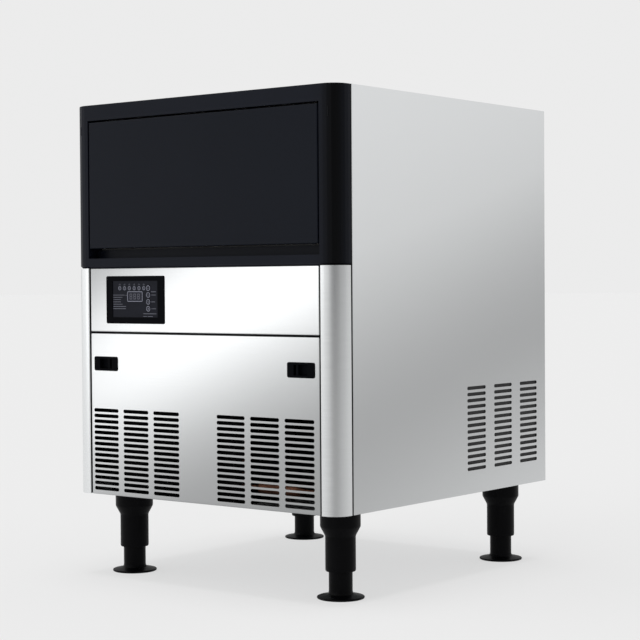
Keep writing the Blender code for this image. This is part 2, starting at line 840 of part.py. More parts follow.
def rear_panel():
    half = inner_x - SHEET - CLEAR
    face = rear_y - REAR_INSET
    step = REAR_SLOT_LENGTH + REAR_SLOT_GAP
    columns = [(column - (REAR_SLOT_COLUMNS - 1) / 2) * step for column in range(REAR_SLOT_COLUMNS)]
    rows = rows_from(base_z + REAR_SLOT_LOWEST, REAR_SLOT_PITCH, REAR_SLOT_ROWS)
    holes = slot_field(columns, rows, REAR_SLOT_LENGTH)
    holes.append(circle(drain_x, drain_leg_z, DRAIN_RADIUS + TUBE_PLAY, SMALL_SIDES))
    holes.append(circle(valve_x, valve_z, VALVE_RADIUS + TUBE_PLAY, SMALL_SIDES))
    holes.append(
        rectangle(
            inlet_x - INLET_WIDTH / 2 + INLET_RIM - CLEAR,
            inlet_x + INLET_WIDTH / 2 - INLET_RIM + CLEAR,
            inlet_z - INLET_HEIGHT / 2 + INLET_RIM - CLEAR,
            inlet_z + INLET_HEIGHT / 2 - INLET_RIM + CLEAR,
        )
    )
    sheet = folded_sheet(
        (-half, half), (pan_top_z + CLEAR, top_z - SHEET - CLEAR), "Y", face, -1, holes, folds="uU"
    )
    node("rear_panel", sheet, "dull_steel")


# Head frame


def cabinet_plan(inset, rear):
    """The head's plan, moved in from its outer face: straight sides and two round front corners."""
    radius = CORNER_RADIUS - inset
    half = side_x - inset
    face = front_y + inset
    right = []
    for step in range(CORNER_STEPS + 1):
        turn = math.radians(-90 + 90 * step / CORNER_STEPS)
        right.append((half - radius + radius * math.cos(turn), face + radius + radius * math.sin(turn)))
    right.append((half, rear))
    return right + [(-u, v) for u, v in right[::-1]]


def bevel_loop(bm, level, rear, width, segments):
    """Bevel the edges round one end of an upright prism, apart from those on its rear face."""
    tiny = CLEAR / 10
    edges = []
    for edge in bm.edges:
        on_level = all(abs(vert.co.z - level) < tiny for vert in edge.verts)
        on_rear = all(abs(vert.co.y - rear) < tiny for vert in edge.verts)
        outer = len(edge.link_faces) == 2 and edge.calc_face_angle() > math.radians(CORNER_EDGE_DEG)
        if on_level and outer and not on_rear:
            edges.append(edge)
    round_edges(bm, edges, width, segments)


def round_edges(bm, edges, width, segments):
    bmesh.ops.bevel(
        bm, geom=edges, offset=width, segments=segments, profile=BEVEL_PROFILE_SHARE, affect="EDGES"
    )


def head_frame():
    outer = prism(cabinet_plan(0, head_rear_y), "Z", head_z, top_z)
    bevel_loop(outer, top_z, head_rear_y, HEAD_EDGE, EDGE_STEPS)
    bevel_loop(outer, head_z, head_rear_y, HEAD_CHAMFER, 1)
    frame = node("head_frame", outer, "head_plastic", smooth=True)
    cut(
        frame,
        prism(cabinet_plan(HEAD_WALL, head_rear_y + CUT_OVER), "Z", head_z + HEAD_WALL, top_z - HEAD_WALL),
    )
    sleeve_x = opening_x + HEAD_WALL
    middle = front_y + HEAD_WALL / 2
    join(
        frame,
        box(-sleeve_x, sleeve_x, middle, head_rear_y, recess_z - HEAD_WALL, opening_top_z + HEAD_WALL),
    )
    opening = [
        (front_y - CUT_OVER, recess_z),
        (front_y + RECESS_DEPTH, recess_z),
        (front_y + RECESS_DEPTH, sill_z),
        (head_rear_y + CUT_OVER, sill_z),
        (head_rear_y + CUT_OVER, opening_top_z),
        (front_y - CUT_OVER, opening_top_z),
    ]
    cut(frame, prism(opening, "X", -opening_x, opening_x))
    reach = PIN_RADIUS + BOSS_WALL
    for side in (-1, 1):
        outer_x = side * (sleeve_x + BOSS_LENGTH)
        join(
            frame,
            box(
                *span(side * (opening_x + HEAD_WALL / 2), outer_x),
                middle,
                hinge_y + reach,
                hinge_z - reach,
                hinge_z + reach,
            ),
        )
        bore = span(side * (opening_x - CUT_OVER), side * (opening_x + BOSS_LENGTH))
        cut(frame, rod((0, hinge_y, hinge_z), PIN_RADIUS + PIN_PLAY, *bore, "X"))


# Door, which swings about the two hinge pins


def door():
    hinge = pivot("door_hinge", (0, hinge_y, hinge_z))
    at = tuple(hinge.location)
    outer = box(-door_x, door_x, front_y, shell_rear_y, door_z, door_top_z)
    tiny = CLEAR / 10
    front_edges = [
        edge for edge in outer.edges if all(abs(vert.co.y - front_y) < tiny for vert in edge.verts)
    ]
    round_edges(outer, front_edges, DOOR_EDGE, EDGE_STEPS)
    skin = node("door_skin", outer, "door_plastic", at, hinge, smooth=True)
    hollow_x = door_x - DOOR_WALL
    hollow_y = front_y + DOOR_WALL
    hollow_z = door_z + GRIP_HEIGHT + DOOR_WALL
    hollow_top_z = door_top_z - DOOR_WALL
    cut(skin, box(-hollow_x, hollow_x, hollow_y, shell_rear_y + CUT_OVER, hollow_z, hollow_top_z))
    grip_x = door_x - GRIP_SIDE
    grip_y = front_y + DOOR_WALL + DOOR_EDGE
    cut(skin, box(-grip_x, grip_x, grip_y, grip_y + GRIP_DEPTH, door_z - CUT_OVER, door_z + GRIP_HEIGHT))
    reach = PIN_RADIUS + BOSS_WALL
    pin_end = opening_x + BOSS_LENGTH - CLEAR - PIN_LENGTH
    notches = []
    for side in (-1, 1):
        boss = span(side * (door_x - DOOR_WALL / 2), side * (pin_end - CLEAR - BOSS_WALL))
        join(
            skin,
            box(*boss, front_y + DOOR_WALL / 2, hinge_y + reach, hinge_z - reach, door_top_z - DOOR_WALL / 2),
        )
        bore = span(side * (door_x + CUT_OVER), side * (pin_end - CLEAR))
        cut(skin, rod((0, hinge_y, hinge_z), PIN_RADIUS + PIN_PLAY, *bore, "X"))
        notches.append(
            (
                *span(side * (door_x + CUT_OVER), side * (pin_end - BOSS_WALL - 2 * CLEAR)),
                front_y,
                hinge_y + reach + CLEAR,
                hinge_z - reach - CLEAR,
                door_top_z,
            )
        )
    foam = box(
        -hollow_x + CLEAR,
        hollow_x - CLEAR,
        hollow_y + CLEAR,
        shell_rear_y,
        hollow_z + CLEAR,
        hollow_top_z - CLEAR,
    )
    filling = node("door_insulation", foam, "foam", at, hinge)
    cut(filling, boxes(*notches))

    panel_half = door_x - PANEL_EDGE
    plate = box(
        -panel_half,
        panel_half,
        door_panel_y,
        door_panel_y + DOOR_PANEL,
        door_z + PANEL_EDGE,
        door_top_z - PANEL_EDGE,
    )
    inner = node("door_inner_panel", plate, "white_plastic", at, hinge)
    dish_x = throat_x - DISH_MARGIN
    dish_z = throat_z + DISH_MARGIN
    dish_top = throat_top_z - DISH_MARGIN
    middle = door_panel_y + DOOR_PANEL / 2
    deep = door_panel_y + DOOR_DISH
    join(inner, box(-dish_x, dish_x, middle, deep, dish_z, dish_top))
    hollow = dish_x - DOOR_PANEL
    cut(
        inner,
        box(
            -hollow,
            hollow,
            door_panel_y - CUT_OVER,
            deep - DOOR_PANEL,
            dish_z + DOOR_PANEL,
            dish_top - DOOR_PANEL,
        ),
    )

    seal_x = door_x - GASKET_EDGE
    seal_z = door_z + GASKET_EDGE
    seal_top = hinge_z - GASKET_DROP
    ring = prism(
        rectangle(-seal_x, seal_x, seal_z, seal_top),
        "Y",
        gasket_y,
        flange_y - CLEAR,
        [
            rectangle(
                -seal_x + GASKET_WIDTH, seal_x - GASKET_WIDTH, seal_z + GASKET_WIDTH, seal_top - GASKET_WIDTH
            )
        ],
    )
    node("door_gasket", ring, "seal_rubber", at, hinge)


def hinge_pin(side):
    outer = side * (opening_x + BOSS_LENGTH - CLEAR)
    inner = outer - side * PIN_LENGTH
    bm = rod((0, hinge_y, hinge_z), PIN_RADIUS, *span(inner, outer), "X")
    name = ("right" if side > 0 else "left") + "_hinge_pin"
    node(name, bm, "dull_steel", ((inner + outer) / 2, hinge_y, hinge_z), smooth=True)


# Ice bin


def bin_liner():
    tub = box(-liner_x, liner_x, liner_front_y, liner_rear_y, liner_z, liner_top_z)
    liner = node("bin_liner", tub, "white_plastic")
    edge_x = door_x + FLANGE_EDGE
    join(
        liner,
        box(
            -throat_x - LINER_WALL,
            throat_x + LINER_WALL,
            flange_y + LINER_WALL / 2,
            liner_front_y + LINER_WALL / 2,
            throat_z - LINER_WALL,
            throat_top_z + LINER_WALL,
        ),
        box(-edge_x, edge_x, flange_y, flange_rear_y, door_z - FLANGE_EDGE, door_top_z + FLANGE_EDGE),
    )
    cut(
        liner,
        box(-bin_x, bin_x, liner_front_y + LINER_WALL, bin_rear_y, bin_floor_z, liner_top_z + CUT_OVER),
        box(
            -throat_x,
            throat_x,
            flange_y - CUT_OVER,
            liner_front_y + LINER_WALL + CUT_OVER,
            throat_z,
            throat_top_z,
        ),
        rod((drain_x, drain_y, 0), DRAIN_RADIUS + TUBE_PLAY, liner_z - CUT_OVER, bin_floor_z + CUT_OVER, "Z"),
        *coil_holes(bin_rear_y - CUT_OVER, liner_rear_y + CUT_OVER),
    )


def coil_holes(low, high):
    """Cutters for the two places where the coil's tube goes through the bin's rear wall."""
    radius = COIL_RADIUS + TUBE_PLAY
    return [rod((coil_end_x, 0, level), radius, low, high, "Y") for level in (coil_top_z, coil_low_z)]


def bin_insulation():
    block = box(-foam_x, foam_x, foam_front_y, foam_rear_y, foam_z, liner_top_z)
    jacket = node("bin_insulation", block, "foam")
    over_x = liner_x + CLEAR
    cut(
        jacket,
        box(
            -over_x,
            over_x,
            liner_front_y - CLEAR,
            liner_rear_y + CLEAR,
            liner_z - CLEAR,
            liner_top_z + CUT_OVER,
        ),
        box(
            -throat_x - LINER_WALL - CLEAR,
            throat_x + LINER_WALL + CLEAR,
            foam_front_y - CUT_OVER,
            liner_front_y,
            throat_z - LINER_WALL - CLEAR,
            throat_top_z + LINER_WALL + CLEAR,
        ),
        rod((drain_x, drain_y, 0), DRAIN_RADIUS + TUBE_PLAY, foam_z - CUT_OVER, liner_z, "Z"),
        *coil_holes(liner_rear_y, foam_rear_y + CUT_OVER),
    )


def top_insulation():
    low = liner_top_z + CLEAR
    slab = box(-foam_x, foam_x, flange_rear_y + CLEAR, foam_rear_y, low, low + LID_FOAM)
    node("top_insulation", slab, "foam")


def bin_drain():
    """A flanged pipe through the bin's floor, with a leg that leaves through the rear panel."""
    flange_z = bin_floor_z + CLEAR
    end_z = drain_leg_z - DRAIN_RADIUS
    profile = [
        (0, end_z),
        (DRAIN_RADIUS, end_z),
        (DRAIN_RADIUS, flange_z),
        (DRAIN_FLANGE, flange_z),
        (DRAIN_FLANGE, flange_z + DRAIN_FLANGE_THICK),
        (0, flange_z + DRAIN_FLANGE_THICK),
    ]
    pipe_end = rear_y - FITTING_RECESS
    made = node(
        "bin_drain", turned(profile, (drain_x, drain_y, 0), sides=SMALL_SIDES), "grey_plastic", smooth=True
    )
    join(made, rod((drain_x, 0, drain_leg_z), DRAIN_RADIUS - CLEAR, drain_y, pipe_end, "Y"))
    cut(
        made,
        rod((drain_x, 0, drain_leg_z), DRAIN_BORE - CLEAR, drain_y, pipe_end + CUT_OVER, "Y"),
        rod((drain_x, drain_y, 0), DRAIN_BORE, drain_leg_z, flange_z + DRAIN_FLANGE_THICK + CUT_OVER, "Z"),
    )


# Freezing plate and what hangs round it


def evaporator_plate():
    """A plate of open cells facing the door, between two cheeks that reach the bin's rear wall."""
    body = box(-plate_x, plate_x, plate_y, plate_rear_y, plate_z, plate_top_z)
    plate = node("evaporator_plate", body, "tinned_copper")
    cells = []
    for column in range(plate_columns):
        x = -plate_x + PLATE_WEB + column * PLATE_CELL
        for row in range(PLATE_ROWS):
            z = plate_z + PLATE_WEB + row * PLATE_CELL
            cells.append(
                (
                    x,
                    x + PLATE_CELL - PLATE_WEB,
                    plate_y - CUT_OVER,
                    plate_rear_y - PLATE_BACK,
                    z,
                    z + PLATE_CELL - PLATE_WEB,
                )
            )
    cut(plate, boxes(*cells))
    for side in (-1, 1):
        cheek = span(side * cheek_x, side * (plate_x + CHEEK_THICK))
        join(
            plate,
            box(*cheek, plate_y - CHEEK_FRONT, bin_rear_y - CLEAR, plate_z - CHEEK_DROP, cheek_top_z),
        )
        hole = span(side * (cheek_x - CUT_OVER), side * (plate_x + CHEEK_THICK + CUT_OVER))
        cut(plate, rod((0, curtain_y, curtain_z), CURTAIN_PIN + PIVOT_PLAY, *hole, "X"))


def evaporator_coil():
    """One tube: up from the drier, through the bin's rear wall, to and fro behind the plate, and out."""
    level = drier_z
    under = deck_z - LINE_DROP
    side = coil_end_x + COIL_SHIFT
    corners = [
        (drier_end_x + CLEAR, condenser_mid_y, level),
        (line_x, condenser_mid_y, level),
        (line_x, condenser_mid_y, under),
        (line_x, gap_y, under),
        (line_x, gap_y, deck_z),
        (side, gap_y, deck_top_z + SUCTION_RISE),
        (side, gap_y, coil_top_z),
        (coil_end_x, gap_y, coil_top_z),
        (coil_end_x, coil_y, coil_top_z),
    ]
    far = coil_x
    for run in range(COIL_RUNS):
        z = coil_top_z - run * coil_pitch
        ends = (far, -far) if run % 2 == 0 else (-far, far)
        if run:
            corners.append((ends[0], coil_y, z))
        if run < COIL_RUNS - 1:
            corners.append((ends[1], coil_y, z))
    corners += [
        (coil_end_x, coil_y, coil_low_z),
        (coil_end_x, gap_y, coil_low_z),
        (coil_end_x, gap_y, coil_low_z - COIL_TAIL),
    ]
    points = bent_path(corners, coil_pitch / 2)
    pipe("evaporator_coil", points, COIL_RADIUS, "copper")


def water_distributor():
    """The pipe over the plate that lets the water run down its cells."""
    half = plate_x + CHEEK_THICK + SPRAY_OVERHANG
    made = node(
        "water_distributor",
        rod((0, spray_y, spray_z), SPRAY_RADIUS, -half, half, "X"),
        "white_plastic",
        smooth=True,
    )
    cut(
        made,
        rod((0, spray_y, spray_z), SPRAY_RADIUS - SPRAY_WALL, -half + SPRAY_WALL, half + CUT_OVER, "X"),
    )


def water_curtain():
    """The flap that keeps the water on the plate and swings out when the ice drops."""
    hinge = pivot("curtain_hinge", (0, curtain_y, curtain_z))
    low = plate_z - CURTAIN_HANG
    rear = curtain_y + CURTAIN_THICK / 2
    path = [(rear, curtain_z), (rear, low + CURTAIN_KICK), (rear - CURTAIN_KICK, low)]
    half = cheek_x - CURTAIN_SIDE
    flap = node(
        "water_curtain",
        prism(strip(path, -CURTAIN_THICK), "X", -half, half),
        "white_plastic",
        tuple(hinge.location),
        hinge,
    )
    reach = cheek_x + CURTAIN_PIN_IN
    join(flap, rod((0, curtain_y, curtain_z), CURTAIN_PIN, -reach, reach, "X"))


def water_trough():
    half = bin_x - CLEAR
    body = box(-half, half, trough_y, bin_rear_y - CLEAR, trough_z, trough_top_z)
    trough = node("water_trough", body, "white_plastic")
    cut(
        trough,
        box(
            -half + TROUGH_WALL,
            half - TROUGH_WALL,
            trough_y + TROUGH_WALL,
            bin_rear_y - CLEAR - TROUGH_WALL,
            trough_z + TROUGH_WALL,
            trough_top_z + CUT_OVER,
        ),
    )


def pump():
    """A shaft pump: its cup stands on the trough's floor, and its motor is above the water."""
    low = trough_z + TROUGH_WALL + CLEAR
    cup_top = low + PUMP_CUP
    motor_z = cup_top + PUMP_NECK
    motor_top = motor_z + PUMP_MOTOR
    bore = PUMP_SHAFT + PUMP_PLAY
    bore_top = motor_z + PUMP_MOTOR / 2
    cup_inner = PUMP_RADIUS - PUMP_CUP_WALL
    roof = cup_top - PUMP_CUP_WALL
    profile = [
        (0, motor_top),
        (PUMP_RADIUS, motor_top),
        (PUMP_RADIUS, motor_z),
        (PUMP_NECK_RADIUS, motor_z),
        (PUMP_NECK_RADIUS, cup_top),
        (PUMP_RADIUS, cup_top),
        (PUMP_RADIUS, low),
        (cup_inner, low),
        (cup_inner, roof),
        (bore, roof),
        (bore, bore_top),
        (0, bore_top),
    ]
    body = node("pump_body", turned(profile, (pump_x, pump_y, 0)), "black_plastic", smooth=True)
    wall = PUMP_RADIUS - PUMP_CUP_WALL / 2
    outlet = (pump_x - PUMP_RADIUS - OUTLET_REACH, pump_x - wall)
    join(body, rod((0, pump_y, low + PUMP_CUP / 2), OUTLET_RADIUS, *outlet, "X"))
    notch = PUMP_INLET / 2
    cut(
        body,
        box(
            pump_x - notch,
            pump_x + notch,
            pump_y - PUMP_RADIUS - CUT_OVER,
            pump_y + PUMP_RADIUS + CUT_OVER,
            low - CUT_OVER,
            low + notch,
        ),
    )

    shaft_top = bore_top - CLEAR
    disc_top = roof - PUMP_PLAY
    spinner = pivot("impeller_axle", (pump_x, pump_y, disc_top))
    wheel = node(
        "pump_impeller",
        turned(
            [
                (0, shaft_top),
                (PUMP_SHAFT, shaft_top),
                (PUMP_SHAFT, disc_top),
                (IMPELLER_RADIUS, disc_top),
                (IMPELLER_RADIUS, disc_top - IMPELLER_VANE),
                (PUMP_SHAFT, disc_top - IMPELLER_VANE),
                (PUMP_SHAFT, disc_top - IMPELLER_HEIGHT),
                (0, disc_top - IMPELLER_HEIGHT),
            ],
            (pump_x, pump_y, 0),
            sides=SMALL_SIDES,
        ),
        "grey_plastic",
        tuple(spinner.location),
        spinner,
        smooth=True,
    )
    for vane in range(IMPELLER_VANES):
        blade = box(
            0,
            IMPELLER_RADIUS - IMPELLER_VANE / 2,
            -IMPELLER_VANE / 2,
            IMPELLER_VANE / 2,
            disc_top - IMPELLER_HEIGHT + IMPELLER_VANE / 2,
            disc_top - IMPELLER_VANE / 2,
        )
        turn_about(blade, 2 * math.pi * vane / IMPELLER_VANES, "Z", (pump_x, pump_y, 0))
        join(wheel, blade)


def turn_about(bm, angle, axis, centre):
    """Turn a shape made round the world's origin about an axis, and carry it to its centre."""
    bmesh.ops.rotate(bm, cent=(0, 0, 0), matrix=Matrix.Rotation(angle, 3, axis), verts=bm.verts[:])
    bmesh.ops.translate(bm, vec=Vector(centre), verts=bm.verts[:])


def supply_hose():
    """From the pump's outlet up to the open end of the distributor."""
    level = trough_z + TROUGH_WALL + CLEAR + PUMP_CUP / 2
    start_x = pump_x - PUMP_RADIUS - OUTLET_REACH - CLEAR
    end_x = plate_x + CHEEK_THICK + SPRAY_OVERHANG + CLEAR
    rise_x = (start_x + end_x) / 2
    corners = [
        (start_x, pump_y, level),
        (rise_x, pump_y, level),
        (rise_x, pump_y, (level + spray_z) / 2),
        (rise_x, spray_y, spray_z),
        (end_x, spray_y, spray_z),
    ]
    pipe("supply_hose", bent_path(corners, HOSE_RADIUS), HOSE_RADIUS, "clear_hose", 2)


def float_valve():
    """A block on the bin's left wall, and an arm whose float rides in the trough."""
    wall_x = -bin_x + CLEAR
    low = trough_top_z + FLOAT_LIFT
    pin_x = wall_x + FLOAT_BLOCK / 2
    pin_z = low + FLOAT_BLOCK_HEIGHT / 2
    block = node(
        "float_valve",
        box(
            wall_x,
            wall_x + FLOAT_BLOCK,
            pump_y - FLOAT_BLOCK / 2,
            pump_y + FLOAT_BLOCK / 2,
            low,
            low + FLOAT_BLOCK_HEIGHT,
        ),
        "blue_plastic",
    )
    slot = FLOAT_SLOT / 2
    cut(
        block,
        box(
            pin_x - slot,
            wall_x + FLOAT_BLOCK + CUT_OVER,
            pump_y - slot,
            pump_y + slot,
            low - CUT_OVER,
            low + FLOAT_BLOCK_HEIGHT + CUT_OVER,
        ),
        rod(
            (pin_x, 0, pin_z),
            FLOAT_PIN + PIVOT_PLAY,
            pump_y - FLOAT_BLOCK / 2 - CUT_OVER,
            pump_y + FLOAT_BLOCK / 2 + CUT_OVER,
            "Y",
        ),
    )
    hinge = pivot("float_hinge", (pin_x, pump_y, pin_z))
    half = FLOAT_ARM_WIDTH / 2
    lever = node(
        "float_arm",
        box(
            pin_x,
            pin_x + FLOAT_ARM,
            pump_y - half,
            pump_y + half,
            pin_z - FLOAT_ARM_THICK / 2,
            pin_z + FLOAT_ARM_THICK / 2,
        ),
        "grey_plastic",
        tuple(hinge.location),
        hinge,
        smooth=True,
    )
    end_x = pin_x + FLOAT_ARM
    join(
        lever,
        rod((pin_x, 0, pin_z), FLOAT_PIN, pump_y - FLOAT_BLOCK / 2, pump_y + FLOAT_BLOCK / 2, "Y"),
        turned(
            [
                (0, pin_z),
                (FLOAT_STEM, pin_z),
                (FLOAT_STEM, pin_z - FLOAT_STEM_DROP),
                (FLOAT_SIZE / 2, pin_z - FLOAT_STEM_DROP),
                (FLOAT_SIZE / 2, pin_z - FLOAT_DROP),
                (0, pin_z - FLOAT_DROP),
            ],
            (end_x, pump_y, 0),
            sides=SMALL_SIDES,
        ),
    )


# Refrigeration in the machine space


def condenser_coil():
    """The finned block behind the lower panel, with an inlet and an outlet stub on its right."""
    block = node(
        "condenser_coil",
        box(condenser_x, condenser_end_x, condenser_y, condenser_rear_y, condenser_z, condenser_top_z),
        "aluminium",
    )
    count = int((CONDENSER_WIDTH - 2 * CONDENSER_FRAME) / FIN_PITCH)
    first = fan_x - (count - 1) * FIN_PITCH / 2
    for low, high in (
        (condenser_y - CUT_OVER, condenser_y + FIN_CUT),
        (condenser_rear_y - FIN_CUT, condenser_rear_y + CUT_OVER),
    ):
        cut(
            block,
            boxes(
                *(
                    (
                        first + fin * FIN_PITCH - FIN_GAP / 2,
                        first + fin * FIN_PITCH + FIN_GAP / 2,
                        low,
                        high,
                        condenser_z + CONDENSER_FRAME,
                        condenser_top_z - CONDENSER_FRAME,
                    )
                    for fin in range(count)
                )
            ),
        )
    for level in (drier_z, condenser_top_z - STUB_END):
        join(
            block,
            rod(
                (0, condenser_mid_y, level),
                STUB_RADIUS,
                condenser_end_x - STUB_LENGTH,
                condenser_end_x + STUB_LENGTH,
                "X",
            ),
        )


def fan_shroud():
    """A box that guides the air from the condenser into a round collar."""
    low_y = condenser_rear_y + CLEAR
    made = node(
        "fan_shroud",
        box(condenser_x, condenser_end_x, low_y, shroud_rear_y, condenser_z, condenser_top_z),
        "black_plastic",
        smooth=True,
    )
    collar_y = shroud_rear_y + SHROUD_COLLAR
    axle = (fan_x, 0, fan_z)
    outer = FAN_RADIUS + SHROUD_WALL
    join(made, rod(axle, outer, shroud_rear_y - SHROUD_WALL / 2, collar_y, "Y", ROUND_SIDES))
    cut(
        made,
        box(
            condenser_x + SHROUD_WALL,
            condenser_end_x - SHROUD_WALL,
            low_y - CUT_OVER,
            shroud_rear_y - SHROUD_WALL,
            condenser_z + SHROUD_WALL,
            condenser_top_z - SHROUD_WALL,
        ),
        rod(axle, FAN_RADIUS, shroud_rear_y - 2 * SHROUD_WALL, collar_y + CUT_OVER, "Y", ROUND_SIDES),
    )


def fan():
    """A five-blade wheel on the motor's shaft, and the motor on a bar across the shroud."""
    axle = pivot("fan_axle", (fan_x, fan_y, fan_z))
    half = fan_depth / 2
    motor_y = fan_y + half + MOTOR_GAP
    shaft_end = motor_y + MOTOR_LENGTH / 2
    wheel = node(
        "fan_blade",
        turned(
            [
                (0, -half),
                (FAN_HUB, -half),
                (FAN_HUB, half),
                (FAN_SHAFT, half),
                (FAN_SHAFT, shaft_end - fan_y),
                (0, shaft_end - fan_y),
            ],
            (fan_x, fan_y, fan_z),
            "Y",
            SMALL_SIDES,
        ),
        "aluminium",
        tuple(axle.location),
        axle,
        smooth=True,
    )
    tip = FAN_RADIUS - FAN_TIP
    root = FAN_HUB * VANE_ROOT_SHARE
    for blade in range(FAN_BLADES):
        outline = [
            (root, -FAN_CHORD / 4),
            ((root + tip) / 2, -FAN_CHORD / 2),
            (tip, -FAN_CHORD / 3),
            (tip, FAN_CHORD / 3),
            ((root + tip) / 2, FAN_CHORD / 2),
            (root, FAN_CHORD / 4),
        ]
        vane = prism(outline, "Y", -FAN_BLADE / 2, FAN_BLADE / 2)
        turn_about(vane, math.radians(FAN_PITCH_DEG), "X", (0, 0, 0))
        turn_about(vane, 2 * math.pi * blade / FAN_BLADES, "Y", (fan_x, fan_y, fan_z))
        join(wheel, vane)

    bore = FAN_SHAFT + PIVOT_PLAY
    motor = node(
        "fan_motor",
        turned(
            [
                (bore, motor_y),
                (MOTOR_RADIUS, motor_y),
                (MOTOR_RADIUS, motor_y + MOTOR_LENGTH),
                (0, motor_y + MOTOR_LENGTH),
                (0, shaft_end + CLEAR),
                (bore, shaft_end + CLEAR),
            ],
            (fan_x, 0, fan_z),
            "Y",
            closed=True,
        ),
        "dull_steel",
        smooth=True,
    )
    reach = FAN_RADIUS + MOTOR_REACH
    bar_y = motor_y + MOTOR_ARM_THICK
    arm = MOTOR_ARM / 2
    for side in (-1, 1):
        outer = span(fan_x + side * MOTOR_RADIUS / 2, fan_x + side * reach)
        leg = span(fan_x + side * (reach - MOTOR_ARM_THICK), fan_x + side * reach)
        join(
            motor,
            box(*outer, bar_y, bar_y + MOTOR_ARM_THICK, fan_z - arm, fan_z + arm),
            box(*leg, shroud_rear_y + CLEAR, bar_y + MOTOR_ARM_THICK, fan_z - arm, fan_z + arm),
        )


def compressor():
    """A welded shell on a plate with four rubber feet, with a stub for each line."""
    plate_low = pan_top_z + CLEAR + COMPRESSOR_FOOT
    low = plate_low + COMPRESSOR_PLATE
    top = low + COMPRESSOR_HEIGHT
    radius = COMPRESSOR_RADIUS
    split = low + COMPRESSOR_SPLIT
    shoulder = top - COMPRESSOR_DOME
    profile = [
        (0, low - COMPRESSOR_PLATE / 2),
        (radius - COMPRESSOR_FILLET, low - COMPRESSOR_PLATE / 2),
        (radius - COMPRESSOR_FILLET, low),
        (radius, low + COMPRESSOR_FILLET),
        (radius, split),
        (radius + COMPRESSOR_SEAM, split),
        (radius + COMPRESSOR_SEAM, split + COMPRESSOR_SEAM),
        (radius, split + COMPRESSOR_SEAM),
    ]
    for step in range(DOME_STEPS):
        turn = math.pi / 2 * step / DOME_STEPS
        profile.append((radius * math.cos(turn), shoulder + COMPRESSOR_DOME * math.sin(turn)))
    profile.append((0, top))
    shell = node("compressor", turned(profile, (compressor_x, compressor_y, 0)), "black_enamel", smooth=True)
    join(
        shell,
        box(
            compressor_x - radius,
            compressor_x + radius,
            compressor_y - radius,
            compressor_y + radius,
            plate_low,
            low,
        ),
    )
    foot = radius - COMPRESSOR_FOOT_RADIUS
    for x in (-foot, foot):
        for y in (-foot, foot):
            centre = (compressor_x + x, compressor_y + y, 0)
            join(
                shell,
                rod(centre, COMPRESSOR_FOOT_RADIUS, pan_top_z + CLEAR, plate_low + COMPRESSOR_PLATE / 2, "Z"),
            )
    join(
        shell,
        rod((compressor_x, 0, discharge_z), STUB_RADIUS, compressor_y - stub_reach, compressor_y, "Y"),
        rod((compressor_x, 0, suction_z), STUB_RADIUS, compressor_y, compressor_y + stub_reach, "Y"),
    )


def filter_drier():
    """The can between the condenser's outlet and the coil's inlet tube."""
    start = condenser_end_x + STUB_LENGTH + CLEAR
    profile = [
        (0, start),
        (STUB_RADIUS, start),
        (DRIER_RADIUS, start + DRIER_NECK),
        (DRIER_RADIUS, drier_end_x - DRIER_NECK),
        (STUB_RADIUS, drier_end_x),
        (0, drier_end_x),
    ]
    bm = turned(profile, (0, condenser_mid_y, drier_z), "X", SMALL_SIDES)
    node("filter_drier", bm, "copper", smooth=True)


def refrigerant_lines():
    start = compressor_y - stub_reach - CLEAR
    corners = [
        (compressor_x, start, discharge_z),
        (compressor_x, condenser_mid_y, discharge_z),
        (condenser_end_x + STUB_LENGTH + CLEAR, condenser_mid_y, discharge_z),
    ]
    pipe("discharge_line", bent_path(corners, LINE_BEND), LINE_RADIUS, "copper")
    corners = [
        (coil_end_x, gap_y, coil_low_z - COIL_TAIL - CLEAR),
        (coil_end_x, gap_y, deck_top_z + SUCTION_RISE),
        (compressor_x, gap_y, suction_z + SUCTION_RISE),
        (compressor_x, gap_y, suction_z),
        (compressor_x, compressor_y + stub_reach + CLEAR, suction_z),
    ]
    pipe("suction_line", bent_path(corners, LINE_BEND), LINE_RADIUS, "copper")


# Control panel


def display_bezel():
    plate = prism(
        rounded_rectangle(bezel_x, bezel_end_x, bezel_z, bezel_top_z, BEZEL_CORNER),
        "Y",
        front_y,
        front_y + BEZEL_FLANGE,
    )
    bezel = node("display_bezel", plate, "black_plastic")
    body = (bezel_x + BEZEL_RIM, bezel_end_x - BEZEL_RIM, bezel_z + BEZEL_RIM, bezel_top_z - BEZEL_RIM)
    join(bezel, prism(rectangle(*body), "Y", front_y + BEZEL_FLANGE / 2, front_y + BEZEL_DEPTH))
    hollow = (body[0] + BEZEL_RIM, body[1] - BEZEL_RIM, body[2] + BEZEL_RIM, body[3] - BEZEL_RIM)
    cut(
        bezel,
        prism(rectangle(*hollow), "Y", web_rear_y, front_y + BEZEL_DEPTH + CUT_OVER),
        prism(rectangle(*face_box), "Y", front_y - CUT_OVER, face_y),
        prism(rectangle(*grown(display_box, CLEAR)), "Y", front_y, web_rear_y + CUT_OVER),
    )
    for index in range(BUTTON_COUNT):
        centre = (button_x, 0, button_top_z - index * BUTTON_PITCH)
        cut(bezel, rod(centre, BUTTON_RADIUS + CLEAR, front_y, web_rear_y + CUT_OVER, "Y", ROUND_SIDES))


def grown(bounds, margin):
    """A flat box (u0, u1, v0, v1) made larger by a margin on every side."""
    u0, u1, v0, v1 = bounds
    return (u0 - margin, u1 + margin, v0 - margin, v1 + margin)


def display_window():
    pane = prism(rectangle(*display_box), "Y", face_y, face_y + DISPLAY_THICK)
    node("display_window", pane, "display_glass")


